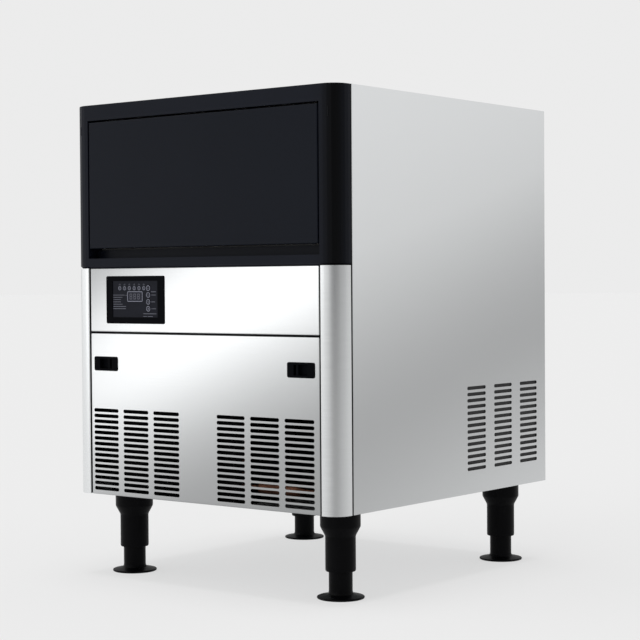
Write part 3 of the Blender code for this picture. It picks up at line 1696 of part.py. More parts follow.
def button(index):
    centre_z = button_top_z - index * BUTTON_PITCH
    flange = BUTTON_RADIUS + BUTTON_FLANGE
    profile = [
        (0, -BUTTON_PROUD),
        (BUTTON_RADIUS, -BUTTON_PROUD),
        (BUTTON_RADIUS, FACE_WEB + CLEAR),
        (flange, FACE_WEB + CLEAR),
        (flange, FACE_WEB + CLEAR + BUTTON_FLANGE_THICK),
        (0, FACE_WEB + CLEAR + BUTTON_FLANGE_THICK),
    ]
    at = (button_x, face_y, centre_z)
    node(f"button_{index + 1}", turned(profile, at, "Y"), "grey_plastic", at, smooth=True)


def control_box():
    body = box(
        bezel_x + BOX_MARGIN,
        bezel_end_x - BOX_MARGIN,
        front_y + BEZEL_DEPTH + CLEAR,
        front_y + BEZEL_DEPTH + CLEAR + BOX_DEPTH,
        bezel_z + BOX_MARGIN,
        bezel_top_z - BOX_MARGIN,
    )
    node("control_box", body, "grey_plastic")


# Slide latches


def latch_z():
    return lower_top_z - LATCH_DROP - LATCH_HEIGHT


def latch(side):
    name = "right" if side > 0 else "left"
    low = latch_z()
    high = low + LATCH_HEIGHT
    outline = rounded_rectangle(
        *span(side * latch_outer_x, side * latch_inner_x), low, high, LATCH_CORNER
    )
    housing = node(
        name + "_latch_housing",
        prism(outline, "Y", front_y, front_y + LATCH_FLANGE),
        "black_plastic",
    )
    body = span(side * (latch_outer_x - LATCH_RIM), side * (latch_inner_x + LATCH_RIM))
    body_z = (low + LATCH_RIM, high - LATCH_RIM)
    rear = front_y + LATCH_DEPTH
    join(housing, box(*body, front_y + LATCH_FLANGE / 2, rear, *body_z))
    pit_outer = latch_outer_x - LATCH_OUTER
    pit_inner = pit_outer - LATCH_PIT
    pocket_inner = pit_inner - LATCH_RIDGE - LATCH_TRAVEL - CLEAR
    floor = rear - LATCH_FLOOR
    pocket_z = (body_z[0] + LATCH_WALL, body_z[1] - LATCH_WALL)
    cut(housing, box(*span(side * pit_outer, side * pocket_inner), front_y - CUT_OVER, floor, *pocket_z))

    ridge_inner = pit_inner - LATCH_RIDGE
    plate_y = floor - CLEAR - LATCH_PLATE
    plan = [
        (pit_outer - CLEAR, floor - CLEAR),
        (pit_outer - CLEAR, plate_y),
        (pit_inner, plate_y),
        (pit_inner, front_y + LATCH_FLANGE),
        (ridge_inner, front_y + LATCH_FLANGE),
        (ridge_inner, floor - CLEAR),
    ]
    at = (side * (pit_inner + ridge_inner) / 2, plate_y, (low + high) / 2)
    slider = prism(mirrored(plan, side), "Z", pocket_z[0] + CLEAR, pocket_z[1] - CLEAR)
    node(name + "_latch_slider", slider, "black_plastic", at)


# Fittings on the rear


def water_inlet_valve():
    outer = rear_y - FITTING_RECESS
    seat = rear_panel_y - CLEAR
    nut = VALVE_RADIUS + VALVE_NUT
    profile = [
        (0, outer - VALVE_BORE_DEPTH),
        (VALVE_BORE, outer - VALVE_BORE_DEPTH),
        (VALVE_BORE, outer),
        (VALVE_RADIUS, outer),
        (VALVE_RADIUS, seat),
        (nut, seat),
        (nut, seat - VALVE_NUT_THICK),
        (VALVE_RADIUS, seat - VALVE_NUT_THICK),
        (VALVE_RADIUS, seat - VALVE_BODY),
        (0, seat - VALVE_BODY),
    ]
    valve = node(
        "water_inlet_valve", turned(profile, (valve_x, 0, valve_z), "Y"), "blue_plastic", smooth=True
    )
    centre = (valve_x, seat - VALVE_BODY / 2 - VALVE_NUT_THICK / 2, 0)
    join(valve, rod(centre, VALVE_COIL_RADIUS, valve_z, valve_z + VALVE_COIL_HEIGHT, "Z"))


def power_inlet():
    face = rear_y - REAR_INSET + CLEAR
    half_x = INLET_WIDTH / 2
    half_z = INLET_HEIGHT / 2
    socket = node(
        "power_inlet",
        box(
            inlet_x - half_x,
            inlet_x + half_x,
            face,
            face + INLET_FLANGE,
            inlet_z - half_z,
            inlet_z + half_z,
        ),
        "black_plastic",
    )
    body = (
        inlet_x - half_x + INLET_RIM,
        inlet_x + half_x - INLET_RIM,
        inlet_z - half_z + INLET_RIM,
        inlet_z + half_z - INLET_RIM,
    )
    join(socket, prism(rectangle(*body), "Y", face + INLET_FLANGE - INLET_DEPTH, face + INLET_FLANGE / 2))
    well = grown(body, -INLET_PIN)
    floor = face + INLET_FLANGE - INLET_DEPTH + INLET_RIM
    cut(socket, prism(rectangle(*well), "Y", floor, face + INLET_FLANGE + CUT_OVER))
    pin = INLET_PIN / 2
    for place_x in (-1, 0, 1):
        x = inlet_x + place_x * (well[1] - well[0]) / 4
        join(
            socket,
            box(x - pin / 2, x + pin / 2, floor - pin, face, inlet_z - 2 * pin, inlet_z + 2 * pin),
        )


# Legs


def leg(name, x, y):
    top = base_z - CLEAR
    bell_low = base_z - BELL_HEIGHT
    cone_low = bell_low - CONE_HEIGHT
    bore = STEM_RADIUS + STEM_PLAY
    profile = [
        (0, top),
        (BELL_RADIUS - SLEEVE_LIP, top),
        (BELL_RADIUS, top - SLEEVE_LIP),
        (BELL_RADIUS, bell_low),
        (SLEEVE_RADIUS, cone_low),
        (SLEEVE_RADIUS, SLEEVE_LOW + SLEEVE_LIP),
        (SLEEVE_RADIUS - SLEEVE_LIP, SLEEVE_LOW),
        (bore, SLEEVE_LOW),
        (bore, top - BORE_TOP),
        (0, top - BORE_TOP),
    ]
    node(name + "_leg_sleeve", turned(profile, (x, y, 0)), "leg_plastic", (x, y, 0), smooth=True)
    stem_top = SLEEVE_LOW + STEM_ENGAGED
    profile = [
        (0, 0),
        (FOOT_RADIUS, 0),
        (FOOT_RADIUS, FOOT_EDGE),
        (STEM_RADIUS + FOOT_FILLET, FOOT_THICK),
        (STEM_RADIUS, FOOT_THICK + FOOT_FILLET),
        (STEM_RADIUS, stem_top),
        (0, stem_top),
    ]
    slider = pivot(name + "_foot_screw", (x, y, 0))
    node(name + "_leg_foot", turned(profile, (x, y, 0)), "leg_plastic", (x, y, 0), slider, smooth=True)


# Places that several pieces share
bezel_x = -panel_x + BEZEL_LEFT
bezel_end_x = bezel_x + BEZEL_WIDTH
bezel_z = fascia_z + BEZEL_LIFT
bezel_top_z = bezel_z + BEZEL_HEIGHT
face_y = front_y + FACE_RECESS
web_rear_y = face_y + FACE_WEB
face_box = (bezel_x + FACE_SIDE, bezel_end_x - FACE_SIDE, bezel_z + FACE_BOTTOM, bezel_top_z - FACE_TOP)
display_box = (
    bezel_x + DISPLAY_LEFT,
    bezel_x + DISPLAY_LEFT + DISPLAY_WIDTH,
    bezel_top_z - DISPLAY_TOP - DISPLAY_HEIGHT,
    bezel_top_z - DISPLAY_TOP,
)
button_x = bezel_end_x - BUTTON_RIGHT
button_top_z = bezel_top_z - BUTTON_TOP
latch_outer_x = panel_x - LATCH_EDGE
latch_inner_x = latch_outer_x - LATCH_WIDTH

plate_columns = int((2 * (bin_x - PLATE_BESIDE) - PLATE_WEB) / PLATE_CELL)
plate_x = (plate_columns * PLATE_CELL + PLATE_WEB) / 2
plate_rear_y = bin_rear_y - PLATE_TO_REAR
plate_y = plate_rear_y - PLATE_DEPTH
cheek_x = plate_x - PLATE_WEB / 2
cheek_top_z = liner_top_z - SPRAY_TOP_GAP - 2 * SPRAY_RADIUS - CLEAR
plate_top_z = cheek_top_z - CHEEK_RISE
plate_z = plate_top_z - PLATE_ROWS * PLATE_CELL - PLATE_WEB
curtain_y = plate_y - CURTAIN_AHEAD
curtain_z = cheek_top_z - CURTAIN_DOWN
spray_y = plate_y + PLATE_DEPTH / 2
spray_z = cheek_top_z + CLEAR + SPRAY_RADIUS
coil_pitch = (plate_top_z - plate_z) / COIL_RUNS
coil_top_z = plate_top_z - coil_pitch / 2
coil_low_z = plate_z + coil_pitch / 2
coil_y = plate_rear_y + CLEAR + COIL_RADIUS
coil_x = plate_x - COIL_MARGIN
coil_end_x = plate_x - COIL_END_MARGIN
trough_y = curtain_y + CURTAIN_THICK + TROUGH_BEHIND
trough_top_z = plate_z - CHEEK_DROP - TROUGH_GAP
trough_z = trough_top_z - TROUGH_HEIGHT
pump_x = bin_x - PUMP_SIDE
pump_y = trough_y + TROUGH_WALL + PUMP_RADIUS + PUMP_GAP

fan_x = -side_x + CONDENSER_SIDE
condenser_x = fan_x - CONDENSER_WIDTH / 2
condenser_end_x = fan_x + CONDENSER_WIDTH / 2
condenser_y = front_y + CONDENSER_SETBACK
condenser_rear_y = condenser_y + CONDENSER_DEPTH
condenser_mid_y = (condenser_y + condenser_rear_y) / 2
condenser_z = pan_top_z + CLEAR
condenser_top_z = condenser_z + CONDENSER_HEIGHT
shroud_rear_y = condenser_rear_y + CLEAR + SHROUD_DEPTH
fan_z = (condenser_z + condenser_top_z) / 2
fan_depth = FAN_CHORD * math.sin(math.radians(FAN_PITCH_DEG))
fan_y = shroud_rear_y + SHROUD_COLLAR / 2
compressor_x = side_x - COMPRESSOR_SIDE
compressor_y = rear_y - COMPRESSOR_REAR
stub_reach = COMPRESSOR_RADIUS + STUB_LENGTH
discharge_z = condenser_top_z - STUB_END
suction_z = condenser_z + SUCTION_LIFT
drier_z = condenser_z + STUB_END
drier_end_x = condenser_end_x + STUB_LENGTH + CLEAR + DRIER_LENGTH
line_x = side_x - LINE_SIDE

drain_x = -side_x + DRAIN_SIDE
drain_y = rear_y - DRAIN_REAR
drain_leg_z = deck_z - DRAIN_BELOW_DECK
valve_x = -side_x + VALVE_SIDE
valve_z = base_z + VALVE_LIFT
inlet_x = side_x - INLET_SIDE
inlet_z = base_z + INLET_LIFT


def build():
    clear_scene()
    base_pan()
    machine_deck()
    top_panel()
    rear_panel()
    control_fascia()
    lower_front_panel()
    head_frame()
    for side in (-1, 1):
        side_panel(side)
        front_post(side)
        hinge_pin(side)
        latch(side)
    door()
    bin_liner()
    bin_insulation()
    top_insulation()
    bin_drain()
    evaporator_plate()
    evaporator_coil()
    water_distributor()
    water_curtain()
    water_trough()
    pump()
    supply_hose()
    float_valve()
    condenser_coil()
    fan_shroud()
    fan()
    compressor()
    filter_drier()
    refrigerant_lines()
    display_bezel()
    display_window()
    for index in range(BUTTON_COUNT):
        button(index)
    control_box()
    water_inlet_valve()
    power_inlet()
    leg("front_left", -side_x + LEG_SIDE, front_y + LEG_FRONT)
    leg("front_right", side_x - LEG_SIDE, front_y + LEG_FRONT)
    leg("rear_left", -side_x + LEG_SIDE, rear_y - LEG_REAR)
    leg("rear_right", side_x - LEG_SIDE, rear_y - LEG_REAR)


build()
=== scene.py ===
import math

import bmesh
import bpy
import numpy as np
from mathutils import Matrix, Vector


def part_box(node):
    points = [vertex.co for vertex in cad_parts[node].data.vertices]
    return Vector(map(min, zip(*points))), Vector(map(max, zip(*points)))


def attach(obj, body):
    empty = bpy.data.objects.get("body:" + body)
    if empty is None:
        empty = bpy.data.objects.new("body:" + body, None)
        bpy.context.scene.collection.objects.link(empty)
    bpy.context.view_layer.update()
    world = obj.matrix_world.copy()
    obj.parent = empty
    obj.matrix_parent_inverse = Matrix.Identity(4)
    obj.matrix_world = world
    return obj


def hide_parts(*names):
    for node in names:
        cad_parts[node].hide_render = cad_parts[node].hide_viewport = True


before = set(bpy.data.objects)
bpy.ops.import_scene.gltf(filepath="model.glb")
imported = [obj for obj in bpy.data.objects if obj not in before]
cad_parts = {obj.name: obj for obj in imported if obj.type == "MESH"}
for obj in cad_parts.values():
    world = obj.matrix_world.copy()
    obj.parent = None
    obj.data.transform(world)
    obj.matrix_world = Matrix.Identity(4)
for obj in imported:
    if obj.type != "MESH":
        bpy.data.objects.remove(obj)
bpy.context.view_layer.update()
print("frame loaded:", len(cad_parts), "solids")


def tenths(rows):
    # rows of tenths of a millimetre, in metres
    return np.array(rows) / 10000


def spot(u, v, w, axis):
    # flat coordinates u, v and a level w along an axis, as points in space
    u, v, w = np.broadcast_arrays(u, v, w)
    order = {"X": (w, u, v), "Y": (u, w, v), "Z": (u, v, w)}[axis]
    return np.stack(order, axis=-1).astype(float)


def gridFaces(rows, columns, wrapRows=False, wrapColumns=False):
    # quads between neighbours of a grid, row by row
    index = np.arange(rows * columns).reshape(rows, columns)
    if wrapRows:
        index = np.vstack([index, index[:1]])
    if wrapColumns:
        index = np.hstack([index, index[:, :1]])
    quads = np.stack([index[:-1, :-1], index[:-1, 1:], index[1:, 1:], index[1:, :-1]], axis=-1)
    return quads.reshape(-1, 4)


def pipeFaces(rows, count):
    # rings of count points, one after another, closed at both ends
    caps = [list(range(count)), list(range((rows - 1) * count, rows * count))]
    return gridFaces(rows, count, wrapColumns=True).tolist() + caps


def joined(*shapes):
    # several (points, faces) as one
    points, faces, start = [], [], 0
    for shapePoints, shapeFaces in shapes:
        points.append(np.asarray(shapePoints).reshape(-1, 3))
        rows = shapeFaces.tolist() if isinstance(shapeFaces, np.ndarray) else shapeFaces
        faces += [[start + i for i in face] for face in rows]
        start += len(points[-1])
    return np.concatenate(points), faces


def roundedRing(u0, u1, v0, v1, radius, steps=6):
    # corner centre + radius (cos a, sin a), a quarter turn at each corner
    angle = np.radians(np.array([-90, 0, 90, 180])[:, None] + np.linspace(0, 90, steps + 1))
    centreU = np.array([u1 - radius, u1 - radius, u0 + radius, u0 + radius])[:, None]
    centreV = np.array([v0 + radius, v1 - radius, v1 - radius, v0 + radius])[:, None]
    ring = [centreU + radius * np.cos(angle), centreV + radius * np.sin(angle)]
    return np.stack(ring, axis=-1).reshape(-1, 2)


def grown(box, margin):
    return box[0] - margin, box[1] + margin, box[2] - margin, box[3] + margin


def insetRings(box, rows, level=0):
    # a rounded rectangle in the box for each (inset, corner radius, depth from the level), in tenths
    return [(*grown(box, -inset), corner, level + depth) for inset, corner, depth in tenths(rows)]


def loft(rings, axis, wrap=False):
    # rounded rectangles (u0, u1, v0, v1, radius, level), one after another, joined point to point
    outlines = np.array([roundedRing(*ring[:5]) for ring in rings])
    levels = np.array([ring[5] for ring in rings])[:, None]
    points = spot(outlines[..., 0], outlines[..., 1], levels, axis)
    rows, count = outlines.shape[:2]
    return points.reshape(-1, 3), gridFaces(rows, count, True, True) if wrap else pipeFaces(rows, count)


def extruded(outline, axis, low, high):
    # a flat closed outline carried straight from low to high
    outline = np.asarray(outline, float)
    points = spot(outline[None, :, 0], outline[None, :, 1], np.array([low, high])[:, None], axis)
    return points.reshape(-1, 3), pipeFaces(2, len(outline))


def turned(profile, centre, axis="Z", sides=48, wrap=False):
    # each profile point (r, h) goes to centre + (r cos a, r sin a), at h along the axis, for every angle a
    radius, height = np.array(profile, float).T
    angle = np.linspace(0, 2 * np.pi, sides, endpoint=False)
    points = spot(np.outer(radius, np.cos(angle)), np.outer(radius, np.sin(angle)), height[:, None], axis)
    return points.reshape(-1, 3) + np.array(centre), gridFaces(len(radius), sides, wrap, True)


def bentPath(corners, bends, steps=8):
    # straight runs, each corner rounded: arc centre + radius along the turn from one run to the next
    corners = [np.array(c, float) for c in corners]
    bends = [bends] * (len(corners) - 2) if np.isscalar(bends) else bends
    nearlyStraight = math.radians(89)  # half the angle between two runs
    points = [corners[0]]
    for before, here, after, bend in zip(corners, corners[1:], corners[2:], bends):
        inward, outward = before - here, after - here
        room = min(np.linalg.norm(inward), np.linalg.norm(outward))
        inward, outward = inward / np.linalg.norm(inward), outward / np.linalg.norm(outward)
        half = np.arccos(np.clip(inward @ outward, -1, 1)) / 2
        if half > nearlyStraight:
            continue
        reach = min(bend / np.tan(half), room)
        radius = reach * np.tan(half)
        middle = (inward + outward) / np.linalg.norm(inward + outward)
        centre = here + middle * radius / np.sin(half)
        start, end = here + inward * reach - centre, here + outward * reach - centre
        sweep = np.pi - 2 * half
        share = np.linspace(0, 1, steps + 1)[:, None]
        points.extend(centre + (start * np.sin((1 - share) * sweep) + end * np.sin(share * sweep)) / np.sin(sweep))
    points.append(corners[-1])
    return np.array(points)


def tube(points, radius, sides=14):
    # path point + radius (cos a x side + sin a x up), with the two directions square to the path
    slant = np.array([0.46, 0.31, 0.83])  # no path runs this way
    along = np.gradient(points, axis=0)
    along /= np.linalg.norm(along, axis=1)[:, None]
    side = np.cross(along, slant)
    side /= np.linalg.norm(side, axis=1)[:, None]
    up = np.cross(side, along)
    angle = np.linspace(0, 2 * np.pi, sides, endpoint=False)[None, :, None]
    ring = points[:, None] + radius * (np.cos(angle) * side[:, None] + np.sin(angle) * up[:, None])
    return ring.reshape(-1, 3), pipeFaces(len(points), sides)


def blocks(lows, highs):
    # many plain bars at once: each corner takes its low or its high, as a table of eight corners says
    lows, highs = np.atleast_2d(lows), np.atleast_2d(highs)
    pick = np.array([[i & 1, i >> 1 & 1, i >> 2 & 1] for i in range(8)])
    points = np.where(pick[None], highs[:, None], lows[:, None])
    quads = np.array([[0, 2, 3, 1], [4, 5, 7, 6], [0, 1, 5, 4], [2, 6, 7, 3], [0, 4, 6, 2], [1, 3, 7, 5]])
    faces = quads[None] + 8 * np.arange(len(lows))[:, None, None]
    return points.reshape(-1, 3), faces.reshape(-1, 4)


def foldedSheet(u, v, level, axis, back, folds="uUvV", slots=None, windows=(), depth=0.012, bend=0.002):
    # face: a grid whose two lines at a row of slots part by h(u) = square root of (r² - d²), d being how
    # far u lies past the slot's straight part; folds: border + R sin a outwards and R (1 - cos a) back
    u0, u1 = u[0] + bend * ("u" in folds), u[1] - bend * ("U" in folds)
    v0, v1 = v[0] + bend * ("v" in folds), v[1] - bend * ("V" in folds)
    uLines = np.array([u0, u1] + [edge for window in windows for edge in window[:2]])
    lines = [(v0, 0), (v1, 0)] + [(edge, 0) for window in windows for edge in window[2:]]
    half, hair = 0, 2e-6
    if slots:
        radius = slots["width"] / 2
        columns = np.array(slots["columns"])
        straight = np.broadcast_to(np.array(slots["length"]) / 2 - radius, columns.shape)
        ends = straight[:, None] + radius * np.sin(np.linspace(0, np.pi / 2, 7))
        uLines = np.concatenate([uLines, (columns[:, None] + np.concatenate([ends, -ends], axis=1)).ravel()])
        rows = slots["lowest"] + slots["pitch"] * np.arange(slots["rows"])
        between = np.append(rows, rows[-1] + slots["pitch"]) - slots["pitch"] / 2
        lines += [(row, 0) for row in between] + [(row, sign) for row in rows for sign in (-1, 1)]
    uLines = np.unique(np.round(uLines, 6))
    lines = np.array(sorted(set(lines)))
    if slots:
        past = (np.abs(uLines[:, None] - columns) - straight).min(1)
        half = np.sqrt(np.clip(radius ** 2 - np.clip(past, 0, None) ** 2, 0, None)) * (past < radius - hair)
    gridU, gridV = np.broadcast_arrays(uLines[None], lines[:, :1] + lines[:, 1:] * half)
    faces = gridFaces(*gridU.shape).reshape(gridU.shape[0] - 1, gridU.shape[1] - 1, 4)
    keep = ~((lines[:-1, 1] < 0) & (lines[1:, 1] > 0))[:, None] & np.ones(faces.shape[:2], bool)
    middleU, middleV = (uLines[:-1] + uLines[1:]) / 2, (lines[:-1, 0] + lines[1:, 0]) / 2
    for w in windows:
        inside = (middleU > w[0]) & (middleU < w[1])
        keep &= ~(((middleV > w[2]) & (middleV < w[3]))[:, None] & inside)
    shapes = [(spot(gridU, gridV, level, axis), faces[keep])]
    angle = np.linspace(0, np.pi / 2, 5)
    reach = np.append(bend * np.sin(angle), bend)[:, None]
    drop = level + back * np.append(bend * (1 - np.cos(angle)), depth)[:, None]
    borders = {
        "u": (np.full(len(lines), u0), gridV[:, 0], (-1, 0)),
        "U": (np.full(len(lines), u1), gridV[:, -1], (1, 0)),
        "v": (uLines, np.full(len(uLines), v0), (0, -1)),
        "V": (uLines, np.full(len(uLines), v1), (0, 1)),
    }
    for side in folds:
        baseU, baseV, way = borders[side]
        strip = spot(baseU + way[0] * reach, baseV + way[1] * reach, drop, axis)
        shapes.append((strip, gridFaces(len(reach), len(baseU))))
    corners = (("uv", u0, v0, 180), ("vU", u1, v0, 270), ("UV", u1, v1, 0), ("Vu", u0, v1, 90))
    for pair, cornerU, cornerV, start in corners:
        if pair[0] in folds and pair[1] in folds:
            turn = np.radians(start + np.linspace(0, 90, 5))
            fan = spot(cornerU + reach * np.cos(turn), cornerV + reach * np.sin(turn), drop, axis)
            shapes.append((fan, gridFaces(len(reach), len(turn))))
    return joined(*shapes)


weld = {"doubles": 2e-6, "degenerate": 1e-6, "bevelFrom": 40, "bevelSteps": 2}


def bake(piece):
    # the mesh as its modifiers leave it, in place of the old one
    bare = piece.data
    piece.data = bpy.data.meshes.new_from_object(piece.evaluated_get(bpy.context.evaluated_depsgraph_get()))
    piece.modifiers.clear()
    bpy.data.meshes.remove(bare)
    piece.data.name = piece.name


def addObject(name, data):
    made = bpy.data.objects.new(name, data)
    bpy.context.scene.collection.objects.link(made)
    return made


def addPiece(name, shape, finish, body="cabinet", node=None, outward=None, thick=0, sharp=28):
    # a new object from (points, faces): doubles merged, faces turned outwards, wall and normals finished;
    # its slot is named as its finish
    points, faces = joined(shape)
    mesh = bpy.data.meshes.new(name)
    mesh.from_pydata(points.tolist(), [], faces)
    bm = bmesh.new()
    bm.from_mesh(mesh)
    bmesh.ops.remove_doubles(bm, verts=bm.verts[:], dist=weld["doubles"])
    bmesh.ops.dissolve_degenerate(bm, edges=bm.edges[:], dist=weld["degenerate"])
    bmesh.ops.recalc_face_normals(bm, faces=bm.faces[:])
    if outward is not None:  # an open sheet: its mean normal says which side is out
        mean = sum((face.normal * face.calc_area() for face in bm.faces), Vector())
        inside = mean.dot(Vector(outward)) < 0
    else:
        inside = bm.calc_volume(signed=True) < 0
    if inside:
        bmesh.ops.reverse_faces(bm, faces=bm.faces[:])
    bm.to_mesh(mesh)
    bm.free()
    piece = addObject(name, mesh)
    mesh.materials.append(finishes[finish])
    if thick:
        wall = piece.modifiers.new("wall", "SOLIDIFY")
        wall.thickness, wall.offset, wall.use_even_offset = thick, -1, True
        bake(piece)
    piece.data.shade_smooth()
    piece.data.set_sharp_from_angle(angle=math.radians(sharp))
    piece.modifiers.new("normals", "WEIGHTED_NORMAL").keep_sharp = True  # flat faces stay flat
    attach(piece, body)
    if node:
        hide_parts(node)


def boxOf(node):
    low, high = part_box(node)
    return np.array(low), np.array(high)


def frontOf(node):
    # a node's outline seen from the front: x from, x to, z from, z to
    low, high = boxOf(node)
    return low[0], high[0], low[2], high[2]


def newNode(tree, kind, inputs=(), operation=None, output=0):
    # the output of a new node; its inputs are given by name or number, as a value or as the output to link
    made = tree.nodes.new("ShaderNode" + kind)
    if operation:
        made.operation = operation
    feed(tree, made, inputs)
    return made.outputs[output]


def feed(tree, node, inputs):
    for name, value in dict(inputs).items():
        if isinstance(value, bpy.types.NodeSocket):
            tree.links.new(value, node.inputs[name])
        else:
            node.inputs[name].default_value = value


def startFinish(name, sockets):
    material = bpy.data.materials.new(name.replace("_", " "))
    material.use_nodes = True
    tree = material.node_tree
    shader = tree.nodes["Principled BSDF"]
    feed(tree, shader, sockets)
    return material, tree, shader, newNode(tree, "TexCoord", output="Object")


def pattern(tree, place, scale, stretch=(1, 1, 1), detail=3, kind="TexNoise"):
    # a noise, or another texture, on the piece's own coordinates, stretched along its axes
    mapping = newNode(tree, "Mapping", {"Vector": place, "Scale": stretch})
    return newNode(tree, kind, {"Vector": mapping, "Scale": scale, "Detail": detail})


def spread(tree, source, fromLow, fromHigh, toLow=0, toHigh=1):
    # the source's range becomes another range
    inputs = {"Value": source, "From Min": fromLow, "From Max": fromHigh, "To Min": toLow, "To Max": toHigh}
    return newNode(tree, "MapRange", inputs)


noiseRange, grainStrength = (0.3, 0.7), 0.35


def clouded(tree, source, dark, light):
    # colours for a noise, from dark to light over its middle range
    ramp = newNode(tree, "ValToRGB", {"Fac": source})
    for element, at, colour in zip(ramp.node.color_ramp.elements, noiseRange, (dark, light)):
        element.position, element.color = at, (*colour, 1)
    return ramp


def raised(tree, source, height, strength):
    return newNode(tree, "Bump", {"Height": source, "Strength": strength, "Distance": height})


def distanceAlong(tree, place, way):
    return newNode(tree, "VectorMath", {0: place, 1: way}, "DOT_PRODUCT", "Value")


def scaledBy(tree, colour, level):
    return newNode(tree, "VectorMath", {0: colour, "Scale": level}, "SCALE")


def paintedLevels(tree, distance, steps, shift=0, tint=(1, 1, 1)):
    # painted light and shade: levels at places along a distance, (place, level) from the nearest to the farthest,
    # softly joined
    first, last = steps[0][0], steps[-1][0]
    ramp = newNode(tree, "ValToRGB", {"Fac": spread(tree, distance, first + shift, last + shift)})
    curve = ramp.node.color_ramp
    curve.interpolation = "B_SPLINE"
    while len(curve.elements) < len(steps):
        curve.elements.new(0.5)
    for element, (at, level) in zip(curve.elements, steps):
        element.position = (at - first) / (last - first)
        element.color = (*(level * part for part in tint), 1)
    return ramp


innerShade = {"level": 0.05, "edge": 0.0002, "rearEdge": 0.001}


def paintedInnerShade(tree, place, colour, inner):
    # painted shade of a closed compartment: (axis, level, rear) darkens what lies nearer the middle than the
    # level, but nothing behind the rear place
    if not inner:
        return colour
    axis, level, rear = inner
    split = newNode(tree, "SeparateXYZ", {0: place}).node.outputs
    away = newNode(tree, "Math", {0: split[axis]}, "ABSOLUTE")
    outside = spread(tree, away, level - innerShade["edge"], level + innerShade["edge"], innerShade["level"])
    behind = spread(tree, split["Y"], rear, rear + innerShade["rearEdge"], innerShade["level"])
    return scaledBy(tree, colour, newNode(tree, "Math", {0: outside, 1: behind}, "MAXIMUM"))


def makeFinish(name, dark, light, rough, cloud, grain, height, metal=0.0, gloss=0.5, kind="TexNoise",
        inner=None, band=None, more=()):
    # slow colour clouds, a fine grain raised from the surface, and a roughness that follows the grain
    sockets = {"Roughness": rough[0], "Metallic": metal, "Specular IOR Level": gloss, **dict(more)}
    material, tree, shader, place = startFinish(name, sockets)
    colour = clouded(tree, pattern(tree, place, cloud, detail=4), dark, light)
    # painted shade on the inner faces, where given
    colour = paintedInnerShade(tree, place, colour, inner)
    # a painted reflection: the colour scaled by light and dark steps along a direction
    if band:
        colour = scaledBy(tree, colour, paintedLevels(tree, distanceAlong(tree, place, band["way"]), band["steps"]))
    fine = pattern(tree, place, grain, kind=kind)
    feed(tree, shader, {"Base Color": colour, "Roughness": spread(tree, fine, *noiseRange, *rough),
            "Normal": raised(tree, fine, height, grainStrength)})
    return material


brushed = {"lines": 1500, "stretch": 0.004, "clouds": 1.6, "rough": (0.24, 0.27), "lineTone": 0.012,
        "tint": (0.975, 0.992, 1), "lineHeight": 0.00001, "lineStrength": 0.03}


def makeSteel(name, along, reflection, inner=None):
    # brushed sheet: very fine lines along one axis, and a painted reflection, bands of light and shade that roll
    # softly across the panel, read from the distance along one direction + a little cloud + a trace of the lines
    rough = brushed["rough"]
    stretch = tuple(brushed["stretch"] if axis in along else 1 for axis in "XYZ")
    material, tree, shader, place = startFinish(name, {"Roughness": rough[0], "Metallic": 1.0})
    lines = pattern(tree, place, brushed["lines"], stretch, detail=1)
    clouds = pattern(tree, place, brushed["clouds"], detail=1)
    distance = distanceAlong(tree, place, reflection["way"])
    for source, share in ((clouds, reflection["wobble"]), (lines, brushed["lineTone"])):
        distance = newNode(tree, "Math", {0: source, 1: share, 2: distance}, "MULTIPLY_ADD")
    shift = (reflection["wobble"] + brushed["lineTone"]) / 2
    colour = paintedLevels(tree, distance, reflection["steps"], shift, brushed["tint"])
    # the base colour takes painted shade on the inner faces, where given
    feed(tree, shader, {"Base Color": paintedInnerShade(tree, place, colour, inner),
            "Roughness": spread(tree, lines, *noiseRange, *rough),
            "Normal": raised(tree, lines, brushed["lineHeight"], brushed["lineStrength"])})
    return material


# painted reflections: each a direction across the piece and (place, level) steps along it; most also a share of cloud
# that wobbles it
paintedReflections = {
    "front": {"way": (0.45, 0, -1.0), "wobble": 0.02,
        "steps": [(-0.69, 0.38), (-0.63, 0.5), (-0.57, 0.7), (-0.5, 0.84), (-0.42, 0.86), (-0.35, 0.73),
        (-0.27, 0.55), (-0.18, 0.42), (-0.05, 0.37)]},
    "side": {"way": (0, -0.26, 0.965), "wobble": 0.02,
        "steps": [(0.05, 0.68), (0.16, 0.58), (0.3, 0.46), (0.4, 0.47), (0.52, 0.62), (0.64, 0.8), (0.88, 0.9)]},
    "post": {"way": (0.788, 0.616, 0), "wobble": 0.0,
        "steps": [(-0.45, 0.86), (0.000, 0.74), (0.01, 0.76), (0.02, 0.66), (0.03, 0.42), (0.038, 0.46),
        (0.052, 0.66), (0.062, 0.7)]},
    # the head's rounded corner: a painted dark reflection band between its front and its side
    "corner": {"way": (0.788, 0.616, 0),
        "steps": [(-0.02, 1.0), (0.01, 0.95), (0.022, 0.22), (0.034, 0.04), (0.044, 0.18), (0.056, 0.8),
        (0.07, 0.85)]},
    "lid": {"way": (0.3, 0.5, 0), "wobble": 0.02, "steps": [(-0.3, 0.84), (0.0, 0.76), (0.3, 0.72)]},
}
frontFace, rearFace = -boxOf("lower_front_panel")[0][1], boxOf("rear_panel")[1][1]
sideFace, sideRear = boxOf("right_side_panel")[1][:2]
steels = {  # axes that the lines run along, painted reflection, where the inner face gets painted shade
    "brushed_steel": ("XY", "post", None),
    "front_steel": ("XY", "front", ("Y", frontFace - 0.0008, 0.3)),
    "side_steel": ("XY", "side", ("X", sideFace - 0.0008, sideRear - 0.003)),
    "top_steel": ("XZ", "lid", None),
}
zinc = ((0.44, 0.46, 0.47), (0.6, 0.62, 0.63), (0.38, 0.52), 55, 90, 3e-5)
zincMore = {"metal": 1.0, "kind": "TexVoronoi"}
